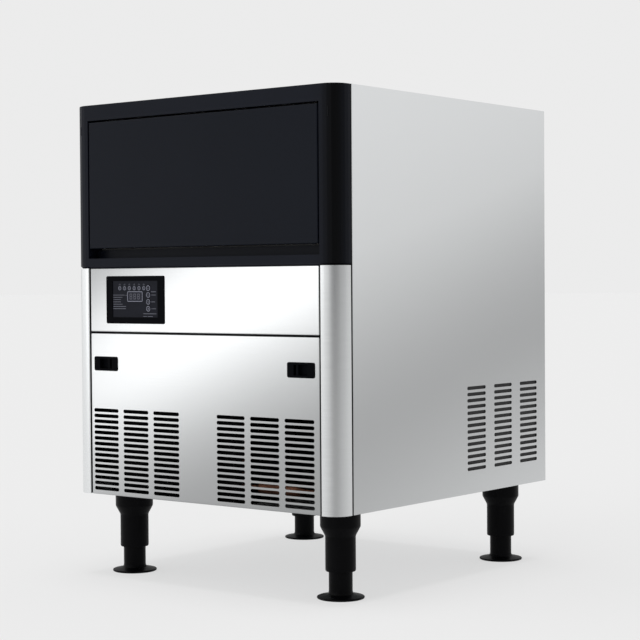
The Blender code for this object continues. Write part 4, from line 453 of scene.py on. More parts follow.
coats = {  # dark and light colour, roughness from and to, scale of the clouds and the grain, grain's height
    "dull_steel": (*zinc, zincMore),
    # the rear panel's inner face gets painted shade
    "rear_steel": (*zinc, {**zincMore, "inner": ("Y", rearFace - 0.0006, 9)}),
    # the head's plastic carries the painted reflection band of its corner
    "head_plastic": ((0.0045, 0.006, 0.011), (0.0058, 0.0074, 0.0132), (0.36, 0.42), 4, 900, 3e-5,
        {"band": paintedReflections["corner"], "gloss": 0.085}),
    "door_plastic": ((0.004, 0.0055, 0.01), (0.0052, 0.0068, 0.0118), (0.34, 0.4), 3, 1100, 3e-5, {"gloss": 0.08}),
    "black_plastic": ((0.001, 0.0012, 0.002), (0.0018, 0.0021, 0.0034), (0.44, 0.54), 30, 1300, 3e-5,
        {"gloss": 0.025}),
    "display_glass": ((0.01, 0.011, 0.02), (0.014, 0.015, 0.026), (0.1, 0.16), 60, 200, 1e-5, {"gloss": 0.12}),
    "white_plastic": ((0.78, 0.79, 0.78), (0.84, 0.845, 0.84), (0.3, 0.42), 5, 260, 0.0001, {}),
    "grey_plastic": ((0.26, 0.27, 0.28), (0.31, 0.32, 0.335), (0.38, 0.5), 20, 800, 5e-5, {}),
    "blue_plastic": ((0.018, 0.075, 0.22), (0.025, 0.1, 0.27), (0.34, 0.44), 25, 700, 5e-5, {}),
    "foam": ((0.72, 0.68, 0.56), (0.82, 0.79, 0.68), (0.85, 0.98), 14, 240, 0.0008, {"kind": "TexVoronoi"}),
    "seal_rubber": ((0.02, 0.02, 0.021), (0.034, 0.034, 0.035), (0.62, 0.8), 18, 600, 0.0001, {"gloss": 0.3}),
    "leg_plastic": ((0.001, 0.001, 0.0014), (0.0018, 0.0018, 0.0024), (0.34, 0.44), 22, 900, 3e-5, {"gloss": 0.055}),
    "tinned_copper": ((0.56, 0.54, 0.5), (0.74, 0.73, 0.7), (0.26, 0.42), 26, 160, 8e-5, {"metal": 1.0}),
    # copper darkened well below clean copper: painted shade, so the tubes behind the slots stay dark
    "copper": ((0.1, 0.045, 0.028), (0.19, 0.086, 0.054), (0.38, 0.55), 34, 300, 4e-5, {"metal": 1.0}),
    "aluminium": ((0.62, 0.63, 0.64), (0.76, 0.77, 0.78), (0.32, 0.46), 20, 400, 4e-5, {"metal": 1.0}),
    "black_enamel": ((0.008, 0.008, 0.009), (0.014, 0.014, 0.015), (0.46, 0.6), 12, 140, 0.00015, {"gloss": 0.12}),
    "clear_hose": ((0.72, 0.78, 0.8), (0.8, 0.85, 0.87), (0.1, 0.18), 15, 200, 3e-5,
        {"more": {"Transmission Weight": 0.75, "IOR": 1.4}}),
    "panel_face": ((0.006, 0.0068, 0.0115), (0.008, 0.009, 0.015), (0.3, 0.38), 40, 1500, 1e-5, {"gloss": 0.08}),
    "panel_ink": ((0.2, 0.21, 0.27), (0.28, 0.29, 0.36), (0.45, 0.55), 300, 1500, 1e-5, {}),
    "dim_ink": ((0.075, 0.08, 0.105), (0.115, 0.12, 0.155), (0.45, 0.55), 300, 1500, 1e-5, {}),
    # black-coated fins, a real condenser finish, here also kept dark as painted shade for the inside seen through the
    # front slots
    "black_fins": ((0.006, 0.006, 0.007), (0.01, 0.01, 0.011), (0.55, 0.7), 30, 500, 3e-5, {"gloss": 0.06}),
}
finishes = {name: makeSteel(name, along, paintedReflections[reflection], inner) for name, (along, reflection, inner) in steels.items()}
finishes.update({name: makeFinish(name, *row[:-1], **row[-1]) for name, row in coats.items()})
for node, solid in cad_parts.items():
    slotName = solid.data.materials[0].name.split(".")[0]
    finish = {"top_panel": "top_steel", "rear_panel": "rear_steel"}.get(node, slotName)
    solid.material_slots[0].material = finishes[finish]
softened = {  # width of the rounded edges
    0.0014: ["bin_liner"], 0.001: ["control_box", "float_valve"], 0.0007: ["fan_shroud"],
    0.0006: ["water_trough", "pump_body"], 0.0005: ["bin_drain", "power_inlet", "water_distributor", "fan_motor"],
}
for width, node in ((width, node) for width, nodes in softened.items() for node in nodes):
    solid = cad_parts[node]
    solid.modifiers.new("weld", "WELD").merge_threshold = weld["degenerate"]
    edge = solid.modifiers.new("edge", "BEVEL")
    edge.width, edge.segments, edge.harden_normals = width, weld["bevelSteps"], True
    edge.limit_method, edge.angle_limit = "ANGLE", math.radians(weld["bevelFrom"])
print("finishes:", len(finishes))

sheet = {"thick": 0.0015, "fold": 0.012, "bend": 0.002, "rise": 0.0027, "postRadius": 0.03, "behindBezel": 0.003}
frontSlots = {"length": [0.0616] * 3 + [0.0633] * 3, "width": 0.0065, "pitch": 0.01018, "lowest": 0.1611, "rows": 15,
        "columns": [-0.2268, -0.153, -0.0792, 0.071, 0.1464, 0.2216]}
sideSlots = {"length": 0.0612, "width": 0.0062, "pitch": 0.01123, "lowest": 0.1948, "rows": 14,
        "columns": [0.0839, 0.1739, 0.2639]}
latchWindows = [(-0.2533, -0.1987, 0.3772, 0.3998), (0.1987, 0.2533, 0.3772, 0.3998)]


def addSheetPanel(node, axis, back, finish, rise=0, **cuts):
    low, high = boxOf(node)
    high[2] += rise
    uAt, vAt, wAt = {"X": (1, 2, 0), "Y": (0, 2, 1)}[axis]
    level = low[wAt] if back > 0 else high[wAt]
    shape = foldedSheet((low[uAt], high[uAt]), (low[vAt], high[vAt]), level, axis, back,
            depth=sheet["fold"], bend=sheet["bend"], **cuts)
    addPiece(node + "_sheet", shape, finish, node=node, outward=-back * np.eye(3)[wAt],
            thick=sheet["thick"])


addSheetPanel("lower_front_panel", "Y", 1, "front_steel", slots=frontSlots, windows=latchWindows)
bezelBox = frontOf("display_bezel")
bezelWindow = grown(bezelBox, -sheet["behindBezel"])
addSheetPanel("control_fascia", "Y", 1, "front_steel", sheet["rise"], windows=[bezelWindow])
for node, back in (("left_side_panel", 1), ("right_side_panel", -1)):
    addSheetPanel(node, "X", back, "side_steel", folds="uU", slots=sideSlots)

for side, node in ((-1, "left_front_post"), (1, "right_front_post")):
    low, high = boxOf(node)
    inner, outer = (high[0], low[0]) if side < 0 else (low[0], high[0])
    front, rear, fold = low[1], high[1], sheet["fold"]
    corners = [(inner, front + fold), (inner, front), (outer, front), (outer, rear), (outer - side * fold, rear)]
    plan = bentPath(corners, [sheet["bend"], sheet["postRadius"], sheet["bend"]], steps=12)
    post = spot(plan[None, :, 0], plan[None, :, 1], np.array([low[2], high[2] + sheet["rise"]])[:, None], "Z")
    addPiece(node + "_sheet", (post, gridFaces(2, len(plan))), "brushed_steel", node=node, outward=(side, -1, 0),
            thick=sheet["thick"])

shadePad = {"thick": 0.003, "gap": 0.0004, "margin": 0.012}

# a thin black pad behind the slots of each side: painted shade, a dark sheet standing for the dark inside seen
# through the slots
face = boxOf("right_side_panel")[1][0] - sheet["thick"] - shadePad["gap"]
reach = sideSlots["length"] / 2 + shadePad["margin"]
highest = sideSlots["lowest"] + sideSlots["pitch"] * (sideSlots["rows"] - 1)
y = (sideSlots["columns"][0] - reach, sideSlots["columns"][-1] + reach)
z = (sideSlots["lowest"] - shadePad["margin"], highest + shadePad["margin"])
for side, name in ((-1, "left"), (1, "right")):
    x = sorted((side * face, side * (face - shadePad["thick"])))
    pad = blocks((x[0], y[0], z[0]), (x[1], y[1], z[1]))
    addPiece(name + "_shade_pad", pad, "seal_rubber")
print("sheet metal done")

panel = {
    "frontY": -0.3275, "faceY": -0.3265, "web": 0.0025, "face": (-0.20675, -0.09675, 0.473, 0.538),
    "display": (-0.1704, -0.1338, 0.5015, 0.5189), "buttonX": -0.119, "buttonTopZ": 0.5251, "buttonPitch": 0.0122,
    "buttonRadius": 0.005, "buttonGap": 0.0003, "lampX": np.linspace(-0.1895, -0.1301, 6), "lampZ": 0.525,
    "lampRing": (0.0026, 0.0034), "lampDot": 0.001, "print": 0.00012, "under": 0.0001,
    # (inset, corner radius, depth) in tenths: round the bezel, into its opening, and on the bezel's back
    "outside": [(30, 10, 110), (30, 10, 12), (0, 30, 12), (0, 30, 6), (1.8, 30, 1.8), (6, 30, 0)],
    "opening": [(-6, 12, 0), (0, 10, 3.6), (0, 10, 35)],
    "back": [(60, 10, 35), (60, 10, 110)],
    # round the display: its pane, and the outline printed round it, from the face
    "pane": [(3, 16, 2), (3, 16, -1.5), (6, 14, -2.5)],
    "outline": [(-4, 22, 1), (-4, 22, -3), (5, 14, -3), (5, 14, 1)],
    # short bars stand for the small print: (x from, x to, z, height) in tenths
    "bars": [(-2060, -1775, 5128, 9), (-1755, -1712, 5123, 7), (-2060, -1832, 5088, 9), (-2060, -1870, 5047, 9),
        (-2060, -1870, 5006, 10), (-2060, -1832, 4964, 9), (-2060, -1745, 4923, 11), (-2060, -1745, 4884, 11),
        (-1316, -1000, 4796, 11), (-1316, -1232, 4748, 10), (-1212, -1086, 4748, 10), (-1120, -1010, 5186, 11),
        (-1120, -1010, 5129, 9), (-1120, -1030, 5007, 11), (-1120, -1010, 4885, 10)],
    # three short bars over each lamp, from the lamp's middle
    "lampBars": [(-22, -6, 5310, 9), (6, 22, 5310, 9), (-6, 10, 5325, 9)],
}


def inkBars(rows, ink, sink):
    # flat bars (x from, x to, z from, z to) from one level of y to another
    rows = np.array(rows)
    return blocks(spot(rows[:, 0], rows[:, 2], ink, "Y"), spot(rows[:, 1], rows[:, 3], sink, "Y"))


def inkRing(inner, outer, at, ink, sink, sides):
    return turned([(inner, sink), (inner, ink), (outer, ink), (outer, sink)], at, "Y", sides, wrap=True)


def addControlPanel():
    front, face, lampZ = panel["frontY"], panel["faceY"], panel["lampZ"]
    rim = (insetRings(bezelBox, panel["outside"], front) + insetRings(panel["face"], panel["opening"], front)
           + insetRings(bezelBox, panel["back"], front))
    addPiece("bezel_frame", loft(rim, "Y", wrap=True), "black_plastic", node="display_bezel")
    hole = 2 * (panel["buttonRadius"] + panel["buttonGap"])
    holes = {"length": hole, "width": hole, "pitch": panel["buttonPitch"], "rows": 4, "columns": [panel["buttonX"]],
            "lowest": panel["buttonTopZ"] - 3 * panel["buttonPitch"]}
    plate = foldedSheet(panel["face"][:2], panel["face"][2:], face, "Y", 1, folds="", slots=holes)
    addPiece("bezel_face", plate, "panel_face", outward=(0, -1, 0), thick=panel["web"])
    pane = loft(insetRings(panel["display"], panel["pane"], face), "Y")
    addPiece("display_pane", pane, "display_glass", node="display_window")
    ink, sink = face - panel["print"], face + panel["under"]
    outline = loft(insetRings(panel["display"], panel["outline"], face), "Y", wrap=True)
    lamps = [inkRing(*panel["lampRing"], (x, 0, lampZ), ink, sink, 24) for x in panel["lampX"]]
    addPiece("panel_outlines", joined(outline, *lamps), "panel_ink")
    bars = tenths(panel["bars"]).tolist()
    bars += [(x + x0, x + x1, z, tall) for x in panel["lampX"] for x0, x1, z, tall in tenths(panel["lampBars"])]
    rows = [(x0, x1, z - tall / 2, z + tall / 2) for x0, x1, z, tall in bars]
    dot = [(0, ink), (panel["lampDot"], ink), (panel["lampDot"], sink), (0, sink)]
    dots = [turned(dot, (x, 0, lampZ), "Y", 12) for x in panel["lampX"]]
    addPiece("panel_marks", joined(inkBars(rows, ink, sink), *dots), "dim_ink")


digit = {"left": -0.1646, "step": 0.0093, "width": 0.0056, "tall": 0.0098, "foot": 0.5053, "bar": 0.0009,
        "short": 0.0004, "gap": 0.0006, "glass": 0.00025, "print": 0.00008, "under": 0.0001}

button = {
    "proud": 0.0007, "print": 0.0001, "under": 0.00005, "ring": (0.0037, 0.0046),
    "cap": [(0, 0), (40, 0), (47, 1), (50, 4)],  # (radius, depth under the top) in tenths
    "skirt": [(50, 28), (57, 28), (57, 43), (0, 43)],  # (radius, depth under the panel's face) in tenths
    "signs": [  # small signs on the caps, (x from, x to, z from, z to) from the middle, in tenths
        [(-15, 11, -4, 4)],
        [(-16, 16, -3, 3)],
        [(-14, 4, 2, 8), (-2, 15, -8, -2), (-3, 3, -16, 16)],
        [(-10, -4, -14, 14), (4, 10, -14, 14)],
    ],
}


def addButton(index):
    x, z, face = panel["buttonX"], panel["buttonTopZ"] - index * panel["buttonPitch"], panel["faceY"]
    top, at = face - button["proud"], (x, 0, z)
    profile = np.vstack([tenths(button["cap"]) + (0, top), tenths(button["skirt"]) + (0, face)])
    body = f"button_{index + 1}"
    addPiece(f"{body}_cap", turned(profile, at, "Y", 40), "panel_face", body, body)
    ink, sink = top - button["print"], top + button["under"]
    signs = inkBars(tenths(button["signs"][index]) + (x, x, z, z), ink, sink)
    ring = inkRing(*button["ring"], at, ink, sink, 32)
    addPiece(f"{body}_sign", joined(ring, signs), "panel_ink", body)


addControlPanel()
# three figures of seven bars, each bar a slim box laid along or up the figure
half, bar, short, gap = digit["tall"] / 2, digit["bar"], digit["short"], digit["gap"]
middles = (bar / 2, half, digit["tall"] - bar / 2)
across = [(short, digit["width"] - short, z - bar / 2, z + bar / 2) for z in middles]
upright = [(x, x + bar, z + gap, z + half - gap) for x in (0, digit["width"] - bar) for z in (0, half)]
starts = digit["left"] + digit["step"] * np.arange(3)
shift = np.stack(np.broadcast_arrays(starts, starts, digit["foot"], digit["foot"]), axis=-1)
rows = (shift[:, None] + np.array(across + upright)).reshape(-1, 4)
level = panel["faceY"] - digit["glass"]
figures = inkBars(rows, level - digit["print"], level + digit["under"])
addPiece("display_figures", figures, "dim_ink")
for index in range(4):
    addButton(index)
print("control panel done")

latch = {
    "frontY": -0.3275, "deep": 0.012, "lip": 0.0012, "rim": 0.002, "outerBlock": 0.0145, "pit": 0.02, "ridge": 0.005,
    "travel": 0.004, "clear": 0.0003, "floor": 0.0025, "wall": 0.002, "plate": 0.002, "hollow": 0.0012,
    "chamfer": (0.0008, 0.0004),
    # (inset, corner radius, depth) in tenths: the frame from its back to its front edge, and its pocket
    "frame": [(20, 10, 120), (20, 10, 12), (0, 35, 12), (0, 35, 5), (1.5, 35, 1.5), (5, 35, 0)],
    "pocket": [(-4, 14, 0), (0, 10, 4), (0, 10, 95)],
}


def addLatch(side, name):
    flange = frontOf(name + "_latch_housing")
    outerX = flange[0] if side < 0 else flange[1]
    front, clear = latch["frontY"], latch["clear"]
    pitOuter = outerX - side * latch["outerBlock"]
    pitInner = pitOuter - side * latch["pit"]
    ridgeInner = pitInner - side * latch["ridge"]
    pocketInner = ridgeInner - side * (latch["travel"] + clear)
    inset = latch["rim"] + latch["wall"]
    bodyZ = (flange[2] + inset, flange[3] - inset)
    pocket = (min(pitOuter, pocketInner), max(pitOuter, pocketInner), *bodyZ)
    rings = insetRings(flange, latch["frame"], front) + insetRings(pocket, latch["pocket"], front)
    addPiece(name + "_latch_frame", loft(rings, "Y"), "black_plastic", node=name + "_latch_housing")
    # slider: a thin plate behind the pit, with a ridge whose pulling face is hollowed in an arc
    rearY = front + latch["deep"] - latch["floor"] - clear
    plateY, top = rearY - latch["plate"], front + latch["lip"]
    arcX = pitInner - side * latch["hollow"] * np.sin(np.linspace(0, np.pi, 9)[1:-1])
    arcY = plateY + (top - plateY) * np.linspace(0, 1, 9)[1:-1]
    start, (chamferX, chamferY) = pitOuter - side * clear, latch["chamfer"]
    outline = [(start, rearY), (start, plateY), (pitInner, plateY), *zip(arcX, arcY), (pitInner, top),
            (pitInner - side * chamferX, top - chamferY), (ridgeInner + side * chamferX, top - chamferY),
            (ridgeInner, top), (ridgeInner, rearY)]
    slider = extruded(outline, "Z", bodyZ[0] + clear, bodyZ[1] - clear)
    addPiece(name + "_latch_grip", slider, "black_plastic", name + "_latch", name + "_latch_slider")


addLatch(-1, "left")
addLatch(1, "right")
print("latches done")

leg = {  # (radius, height) in tenths
    "sides": 72,
    "sleeve": [(0, 1497), (328, 1497), (341, 1491), (345, 1478), (345, 1232), (342, 1216), (335, 1198), (270, 1076),
        (262, 1058), (260, 1040), (260, 490), (257, 472), (250, 462), (243, 460), (207, 460), (207, 1400),
        (0, 1400)],
    "foot": [(0, 0), (390, 0), (401, 6), (405, 16), (405, 26), (400, 34), (385, 40), (262, 60), (225, 75), (208, 98),
        (202.5, 130), (202.5, 1000), (0, 1000)],
}
for corner in ("front_left", "front_right", "rear_left", "rear_right"):
    low, high = boxOf(corner + "_leg_sleeve")
    at = ((low[0] + high[0]) / 2, (low[1] + high[1]) / 2, 0)
    sleeve, foot = (turned(tenths(leg[part]), at, sides=leg["sides"]) for part in ("sleeve", "foot"))
    addPiece(corner + "_sleeve", sleeve, "leg_plastic", node=corner + "_leg_sleeve")
    addPiece(corner + "_foot_stem", foot, "leg_plastic", corner + "_foot", corner + "_leg_foot")
print("legs done")

doorSide = {
    "dish": (-0.236, 0.236, 0.6255, 0.784), "flange": 0.003, "gasketWidth": 0.012, "gasketCorner": 0.0062,
    # (inset, corner radius, depth) in tenths: the rim's back and face, the foot of the raised wall, its top
    "back": [(5, 40, 0), (0, 42, 5)],
    "face": [(0, 42, -5), (5, 40, 0)],
    "foot": [(-20, 170, 0), (-10, 160, 5), (-4, 152, 16)],
    "top": [(0, 150, -20), (5, 145, -7), (18, 135, 0), (240, 100, 0), (252, 92, -6), (262, 85, -22), (275, 80, -26)],
    # the gasket's outer half: (inset, height) over its foot and under its lip, in tenths
    "gasketFoot": [(6, 0), (0, 4), (0, 10), (18, 16), (9, 29)],
    "gasketLip": [(16, -6), (34, 0)],
}

low, high = boxOf("door_inner_panel")
rim, dish = frontOf("door_inner_panel"), doorSide["dish"]
back, top = low[1], high[1]
face = back + doorSide["flange"]
places = ((rim, "back", back), (rim, "face", face), (dish, "foot", face), (dish, "top", top))
rings = [ring for box, rows, level in places for ring in insetRings(box, doorSide[rows], level)]
addPiece("door_lining", loft(rings, "Y"), "white_plastic", "door", "door_inner_panel")
low, high = boxOf("door_gasket")
rim, wide, corner = frontOf("door_gasket"), doorSide["gasketWidth"], doorSide["gasketCorner"]
profile = [*(tenths(doorSide["gasketFoot"]) + (0, low[1])), *(tenths(doorSide["gasketLip"]) + (0, high[1]))]
profile += [(wide - inset, level) for inset, level in profile[::-1]]  # the inner half mirrors the outer
rings = [(*grown(rim, -inset), corner - 0.3 * inset, level) for inset, level in profile]
addPiece("door_gasket_ring", loft(rings, "Y", wrap=True), "seal_rubber", "door", "door_gasket")

sill = {"low": (-0.26, -0.3004, 0.5946), "high": (0.26, -0.2912, 0.5972)}  # foam strip on the head's sill
addPiece("sill_seal", blocks(sill["low"], sill["high"]), "seal_rubber")

coil = {"bend": 0.010875, "topZ": 0.7917, "pitch": 0.02175, "runs": 6, "plateY": 0.1813, "reach": 0.13, "endX": 0.14,
        "riseX": 0.175, "riseY": 0.29765, "endZ": 0.653, "drier": (0.2026, -0.285, 0.1818), "sideX": 0.245,
        "passZ": (0.3734, 0.3954, 0.4574)}


def coilCorners():
    # up from the drier, then six runs to and fro behind the freezing plate, and down to the suction line
    sides = np.array([-1, -1, 1, 1, -1, -1, 1, 1, -1, -1])
    levels = coil["topZ"] - coil["pitch"] * ((np.arange(len(sides)) + 1) // 2)
    turns = [(side * coil["reach"], coil["plateY"], level) for side, level in zip(sides, levels)]
    (drierX, front, drierZ), x, rear, end = coil["drier"], coil["sideX"], coil["riseY"], coil["endX"]
    riseX, plateY, topZ = coil["riseX"], coil["plateY"], coil["topZ"]
    passZ, lowZ = coil["passZ"], topZ - (coil["runs"] - 1) * coil["pitch"]
    start = [(drierX, front, drierZ), (x, front, drierZ), (x, front, passZ[0]), (x, rear, passZ[0]),
        (x, rear, passZ[1]), (riseX, rear, passZ[2]), (riseX, rear, topZ), (end, rear, topZ), (end, plateY, topZ)]
    return start + turns + [(end, plateY, lowZ), (end, rear, lowZ), (end, rear, coil["endZ"])]


lines = {  # node, finish, radius, bend, corners
    "coil_tube": ("evaporator_coil", "copper", 0.004, coil["bend"], coilCorners()),
    "discharge_tube": ("discharge_line", "copper", 0.00475, 0.022,
        [(0.14, 0.0902, 0.3268), (0.14, -0.285, 0.3268), (0.0923, -0.285, 0.3268)]),
    "suction_tube": ("suction_line", "copper", 0.00475, 0.022,
        [(0.14, 0.29765, 0.6527), (0.14, 0.29765, 0.2418), (0.14, 0.2648, 0.2418)]),
    "hose_tube": ("supply_hose", "clear_hose", 0.0075, 0.013,
        [(0.2047, 0.166, 0.6309), (0.18825, 0.166, 0.6309), (0.18825, 0.166, 0.8249),
        (0.1718, 0.166, 0.8249)]),
}
for name, (node, finish, radius, bend, corners) in lines.items():
    addPiece(name, tube(bentPath(corners, bend), radius, 20), finish, node=node)

drier = [(0, 0), (50, 0), (50, 52), (62, 80), (92, 112), (106, 132), (110, 160)]  # (radius, from the end) in tenths
low, high = boxOf("filter_drier")
half = tenths(drier) + (0, low[0])
profile = [*half, *((radius, low[0] + high[0] - x) for radius, x in half[::-1])]
body = turned(profile, (0, (low[1] + high[1]) / 2, (low[2] + high[2]) / 2), "X", 32)
addPiece("drier_body", body, "copper", node="filter_drier")
print("door side and lines done")

core = {"left": -0.25, "right": 0.08, "plateIn": 0.017, "plate": 0.0012, "finPitch": 0.0032, "fin": 0.0004,
        "edge": 0.0015, "tube": 0.0045, "topZ": 0.3268, "lowZ": 0.1818, "rows": 8, "turnIn": 0.0052, "y": -0.285,
        "spare": 1e-5}

# thin fins between two end plates, with a rail above and one below; one tube to and fro through them
low, high = boxOf("condenser_coil")
left, right, plate, y = core["left"], core["right"], core["plate"], core["y"]
firstX, lastX = left + core["plateIn"], right - core["plateIn"]
rows = [(x, core["fin"], core["edge"]) for x in np.arange(firstX + core["finPitch"], lastX, core["finPitch"])]
rows = np.array(rows + [(firstX, plate, 0), (lastX - plate, plate, 0)])
x, thick, edge = rows.T
fins = blocks(spot(low[1] + edge, low[2] + edge, x, "X"), spot(high[1] - edge, high[2] - edge, x + thick, "X"))
rails = blocks([(left, low[1], low[2]), (left, low[1], high[2] - plate)],
        [(right, high[1], low[2] + plate), (right, high[1], high[2])])
addPiece("condenser_fins", joined(fins, rails), "black_fins", node="condenser_coil")
levels = np.repeat(np.linspace(core["topZ"], core["lowZ"], core["rows"]), 2)[1:-1]
sides = np.tile(np.repeat([left + core["turnIn"], right - core["turnIn"]], 2), core["rows"])
runs = [(x, y, z) for x, z in zip(sides, levels)]
corners = [(high[0], y, core["topZ"])] + runs + [(high[0], y, core["lowZ"])]
bend = (core["topZ"] - core["lowZ"]) / (core["rows"] - 1) / 2 - core["spare"]
addPiece("condenser_tube", tube(bentPath(corners, bend), core["tube"], 14), "copper")

fan = {"at": (-0.085, -0.2242, 0.2543), "hub": 0.022, "half": 0.0103, "tip": 0.0795, "blades": 5, "pitch": 28,
       "chord": 0.0185, "thick": 0.0007, "sweep": 0.3, "camber": 0.0016, "root": 0.001, "rows": 14, "across": 11,
       "wall": 0.0015, "floor": 0.01, "rootWidth": 0.72, "swell": 0.42, "swellPower": 0.8, "swellEnd": 0.8,
       "taper": 0.55, "taperPower": 8,
       "hubFront": [(0, 0), (-50, 0), (-20, 8), (-4, 26), (0, 50)]}  # (from the hub's radius, from its front), tenths

# blade point: radius r, turned by start + sweep + offset / r, moved along the axis by the pitch; the wall
# closes round both sides
r, half, at = fan["hub"], fan["half"], fan["at"]
hub = tenths(fan["hubFront"]) + (r, -half)
hub[0, 0] = 0
wall, floor = r - fan["wall"], fan["floor"] - half
hub = [*hub, (r, half), (wall, half), (wall, floor), (0, floor)]
addPiece("fan_hub", turned(hub, at, "Y", 48), "black_plastic", "fan", "fan_blade")
radius = np.linspace(r - fan["root"], fan["tip"], fan["rows"])[:, None]
outward = np.clip((radius - r) / (fan["tip"] - r), 0, 1)
across = np.linspace(-1, 1, fan["across"])
loop, side = np.concatenate([across, across[::-1]]), np.repeat([1, -1], fan["across"])
swell = fan["rootWidth"] + fan["swell"] * np.sin(np.pi * outward ** fan["swellPower"] * fan["swellEnd"])
width = fan["chord"] * swell * np.sqrt(1 - fan["taper"] * outward ** fan["taperPower"])
swept = fan["sweep"] * (radius - r) / (fan["tip"] - r)
slope = math.radians(fan["pitch"])
camber = fan["camber"] * (1 - loop ** 2)
shapes = []
for start in np.arange(fan["blades"]) * 2 * np.pi / fan["blades"]:
    turn = start + swept + loop * width * math.cos(slope) / radius
    along = np.clip(loop * width * math.sin(slope) + camber + side * fan["thick"], -half, half)
    points = spot(radius * np.cos(turn), radius * np.sin(turn), along, "Y") + np.array(at)
    shapes.append((points.reshape(-1, 3), pipeFaces(fan["rows"], len(loop))))
addPiece("fan_blades", joined(*shapes), "black_plastic", "fan", sharp=40)

shell = {
    "at": (0.14, 0.1775), "radius": 0.075, "foot": 0.064, "domeZ": 0.2908, "dome": 0.045, "stub": 0.005,
    # (radius, height) in tenths
    "body": [(0, 1708), (525, 1708), (645, 1735), (712.5, 1790), (750, 1880), (750, 2302), (772, 2302), (780, 2310),
        (780, 2330), (772, 2338), (750, 2338)],
    "plate": [(-750, 140, 1678), (-750, 140, 1708)],
    "feet": [(0, 1518), (104, 1518), (110, 1526), (110, 1560), (100, 1575), (86, 1590), (86, 1612), (100, 1626),
        (110, 1640), (110, 1670), (104, 1678), (0, 1678)],
    "stubs": [(-0.087, -0.043, 0.3268), (0.072, 0.087, 0.2418)],  # y from, y to, z
}

x, y = shell["at"]
turn = np.linspace(0, np.pi / 2, 13)
dome = np.stack([shell["radius"] * np.cos(turn), shell["domeZ"] + shell["dome"] * np.sin(turn)], axis=1)
body = turned(np.vstack([tenths(shell["body"]), dome]), (x, y, 0), sides=72)
plate = loft(insetRings((x, x, y, y), shell["plate"]), "Z")
addPiece("compressor_shell", joined(body, plate), "black_enamel", node="compressor")
reach = shell["foot"]
places = [(x + i * reach, y + j * reach, 0) for i in (-1, 1) for j in (-1, 1)]
feet = [turned(tenths(shell["feet"]), at, sides=28) for at in places]
addPiece("compressor_feet", joined(*feet), "seal_rubber")
stubs = [tube(np.array([(x, y + y0, z), (x, y + y1, z)]), shell["stub"], 18) for y0, y1, z in shell["stubs"]]
addPiece("compressor_stubs", joined(*stubs), "copper")
print("condenser, fan and compressor done")

valve = {
    "at": (-0.23, 0.3), "nut": 0.016, "nutY": (0.3027, 0.3077), "ridges": 7, "ridgePitch": 0.0021, "ridgeFrom": 0.001,
    # (radius, from the spout's end) in tenths: its lip, one ridge of its thread, and its bore
    "lip": [(96, 0), (103, -6)],
    "ridge": [(110, -4), (110, -8), (102, -13), (102, -18)],
    "bore": [(0, -160), (74, -160), (80, -150), (80, -8), (88, 0)],
    "body": [(-105, 30, 2737), (-115, 30, 2747), (-115, 30, 3027)],
    "winding": [(0, 112), (120, 112), (136, 122), (140, 135), (140, 320), (134, 336), (120, 340), (0, 340)],
    "windingY": 0.2882,
}

(x, z), end = valve["at"], boxOf("water_inlet_valve")[1][1]
starts = end - valve["ridgeFrom"] - np.arange(valve["ridges"]) * valve["ridgePitch"]
ridges = [tenths(valve["ridge"]) + (0, start) for start in starts]
foot = [(ridges[-1][-1][0], valve["nutY"][1]), (0, valve["nutY"][1])]
profile = np.vstack([tenths(valve["lip"]) + (0, end), *ridges, foot, tenths(valve["bore"]) + (0, end)])
spout = turned(profile, (x, 0, z), "Y", 40, wrap=True)
angle = np.radians(np.arange(6) * 60 + 30)
nut = np.stack([x + valve["nut"] * np.cos(angle), z + valve["nut"] * np.sin(angle)], axis=1)
body = loft(insetRings((x, x, z, z), valve["body"]), "Y")
shape = joined(spout, extruded(nut, "Y", *valve["nutY"]), body)
addPiece("valve_body", shape, "blue_plastic", node="water_inlet_valve")
winding = turned(tenths(valve["winding"]) + (0, z), (x, valve["windingY"], 0), "Z", 40)
addPiece("valve_winding", winding, "black_plastic")
print("inlet valve done")

screw = {"profile": [(0, 4), (22, 4), (25, 29), (38, 26), (50, 16), (55, 4), (55, 0)],  # (radius, height) in tenths
        "inset": 0.022, "rows": [0.185, 0.35, 0.51, 0.67, 0.815], "top": [-0.18, 0.0, 0.18]}

# button heads round the rear panel
high = boxOf("rear_panel")[1]
x = high[0] - screw["inset"]
spots = [(side * x, z) for side in (-1, 1) for z in screw["rows"]]
spots += [(at, screw["rows"][-1]) for at in screw["top"]]
profile = tenths(screw["profile"]) + (0, high[1])
heads = [turned(profile, (x, 0, z), "Y", 20) for x, z in spots]
addPiece("rear_screws", joined(*heads), "aluminium", sharp=50)
print("screws done")

studio = {
    "background": 0.837, "floorGlow": 0.574, "floorPaint": 0.262, "floor": 60.0, "sun": 0.95, "sunAngle": 21,
    "plain": 0.58,  # the world's level between its lobes
    # (direction, cosine where it starts, cosine where it is full, what it adds)
    "lobes": [((-0.66, -0.7, 0.25), 0.2, 0.95, 0.62), ((0.62, -0.79, 0.05), 0.78, 0.985, -0.24),
        ((0.6, 0.75, 0.38), 0.72, 0.99, 0.22)],
    "box": {"place": (-1.62, -2.28, 0.56), "towards": (0.0, -0.2, 0.42), "wide": 1.1, "tall": 0.46, "roll": 32,
        "glow": 0.66},
}


def seenRay(tree):
    # one for rays from the camera, and for those that metal or glass sends on
    path = newNode(tree, "LightPath").node.outputs
    seen = path["Is Camera Ray"]
    for name in ("Is Glossy Ray", "Is Transmission Ray"):
        seen = newNode(tree, "Math", {0: seen, 1: path[name]}, "MAXIMUM")
    return seen


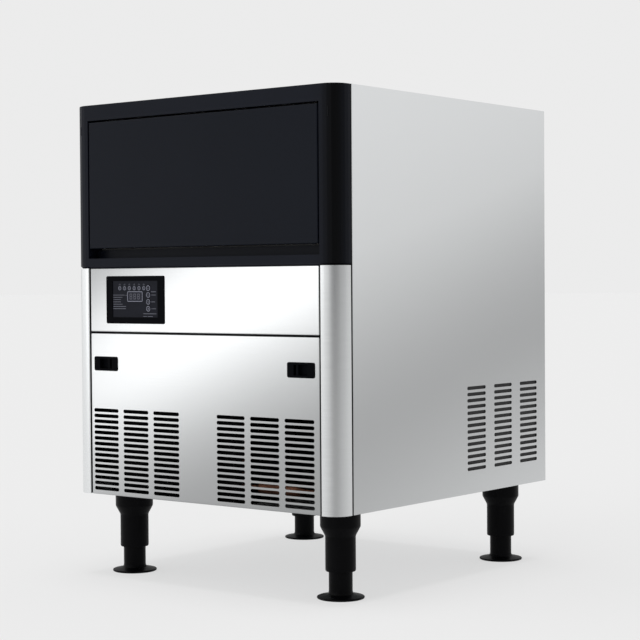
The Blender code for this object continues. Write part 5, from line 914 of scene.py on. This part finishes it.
def addFloor():
    # seen directly or in metal, a pale glow plus a thin coat of paint, which takes the soft shadow; else paint
    mesh = bpy.data.meshes.new("floor")
    corners = ((-1, -1), (1, -1), (1, 1), (-1, 1))
    mesh.from_pydata([(x * studio["floor"], y * studio["floor"], 0) for x, y in corners], [], [(0, 1, 2, 3)])
    material = bpy.data.materials.new("floor")
    material.use_nodes = True
    tree = material.node_tree
    tree.nodes.remove(tree.nodes["Principled BSDF"])
    greys = [(studio[level],) * 3 + (1,) for level in ("background", "floorPaint")]
    paint, thin = (newNode(tree, "BsdfDiffuse", {"Color": grey}) for grey in greys)
    glow = newNode(tree, "Emission", {"Strength": studio["floorGlow"]})
    both = newNode(tree, "AddShader", {0: thin, 1: glow})
    mix = newNode(tree, "MixShader", {"Fac": seenRay(tree), 1: paint, 2: both})
    feed(tree, tree.nodes["Material Output"], {"Surface": mix})
    mesh.materials.append(material)
    addObject("floor", mesh)


def lightWorld():
    # a plain level, plus or minus a smooth lobe round each direction; the camera sees an even grey
    world = bpy.data.worlds.new("studio")
    bpy.context.scene.world = world
    world.use_nodes = True
    tree = world.node_tree
    place = newNode(tree, "TexCoord", output="Generated")
    total = studio["plain"]
    for way, start, full, amount in studio["lobes"]:
        lobe = spread(tree, distanceAlong(tree, place, Vector(way).normalized()), start, full, 0, amount)
        lobe.node.interpolation_type = "SMOOTHSTEP"
        total = newNode(tree, "Math", {0: lobe, 1: total}, "ADD")
    seen = newNode(tree, "LightPath", output="Is Camera Ray")
    mix = newNode(tree, "Mix", {"Factor": seen, "A": total, "B": studio["background"]}, output="Result")
    feed(tree, tree.nodes["Background"], {"Color": (1, 1, 1, 1), "Strength": mix})


# angles in degrees, the lens in millimetres
view = {"place": (2.0015, -2.5477, 0.5341), "azimuth": 37.99, "pitch": -1.266, "roll": -0.377, "lens": 96.935625,
        "near": 0.05, "far": 200}

addFloor()
lightWorld()
lamp = bpy.data.lights.new("overhead", "SUN")
lamp.energy, lamp.angle = studio["sun"], math.radians(studio["sunAngle"])
addObject("overhead", lamp)
# a flat lamp at the front left; its power gives the glow in each direction: pi x area x glow
box = studio["box"]
lamp = bpy.data.lights.new("softbox", "AREA")
lamp.shape, lamp.size, lamp.size_y = "RECTANGLE", box["wide"], box["tall"]
lamp.energy = math.pi * box["wide"] * box["tall"] * box["glow"]
softbox = addObject("softbox", lamp)
way = Vector(box["towards"]) - Vector(box["place"])
turn = way.to_track_quat("-Z", "Y").to_matrix().to_4x4() @ Matrix.Rotation(math.radians(box["roll"]), 4, "Z")
softbox.matrix_world = Matrix.Translation(box["place"]) @ turn
softbox.visible_camera = False
# turned by the azimuth about the upright, tilted by the pitch, and rolled about its line of sight
azimuth, pitch, roll = (math.radians(view[name]) for name in ("azimuth", "pitch", "roll"))
data = bpy.data.cameras.new("camera")
data.lens, data.clip_start, data.clip_end = view["lens"], view["near"], view["far"]
camera = addObject("camera", data)
turns = ((azimuth, "Z"), (math.pi / 2 + pitch, "X"), (roll, "Z"))
first, second, third = (Matrix.Rotation(angle, 4, axis) for angle, axis in turns)
camera.matrix_world = Matrix.Translation(view["place"]) @ first @ second @ third
bpy.context.scene.camera = camera
bpy.context.scene.view_settings.view_transform = "Standard"
print("studio and camera done")
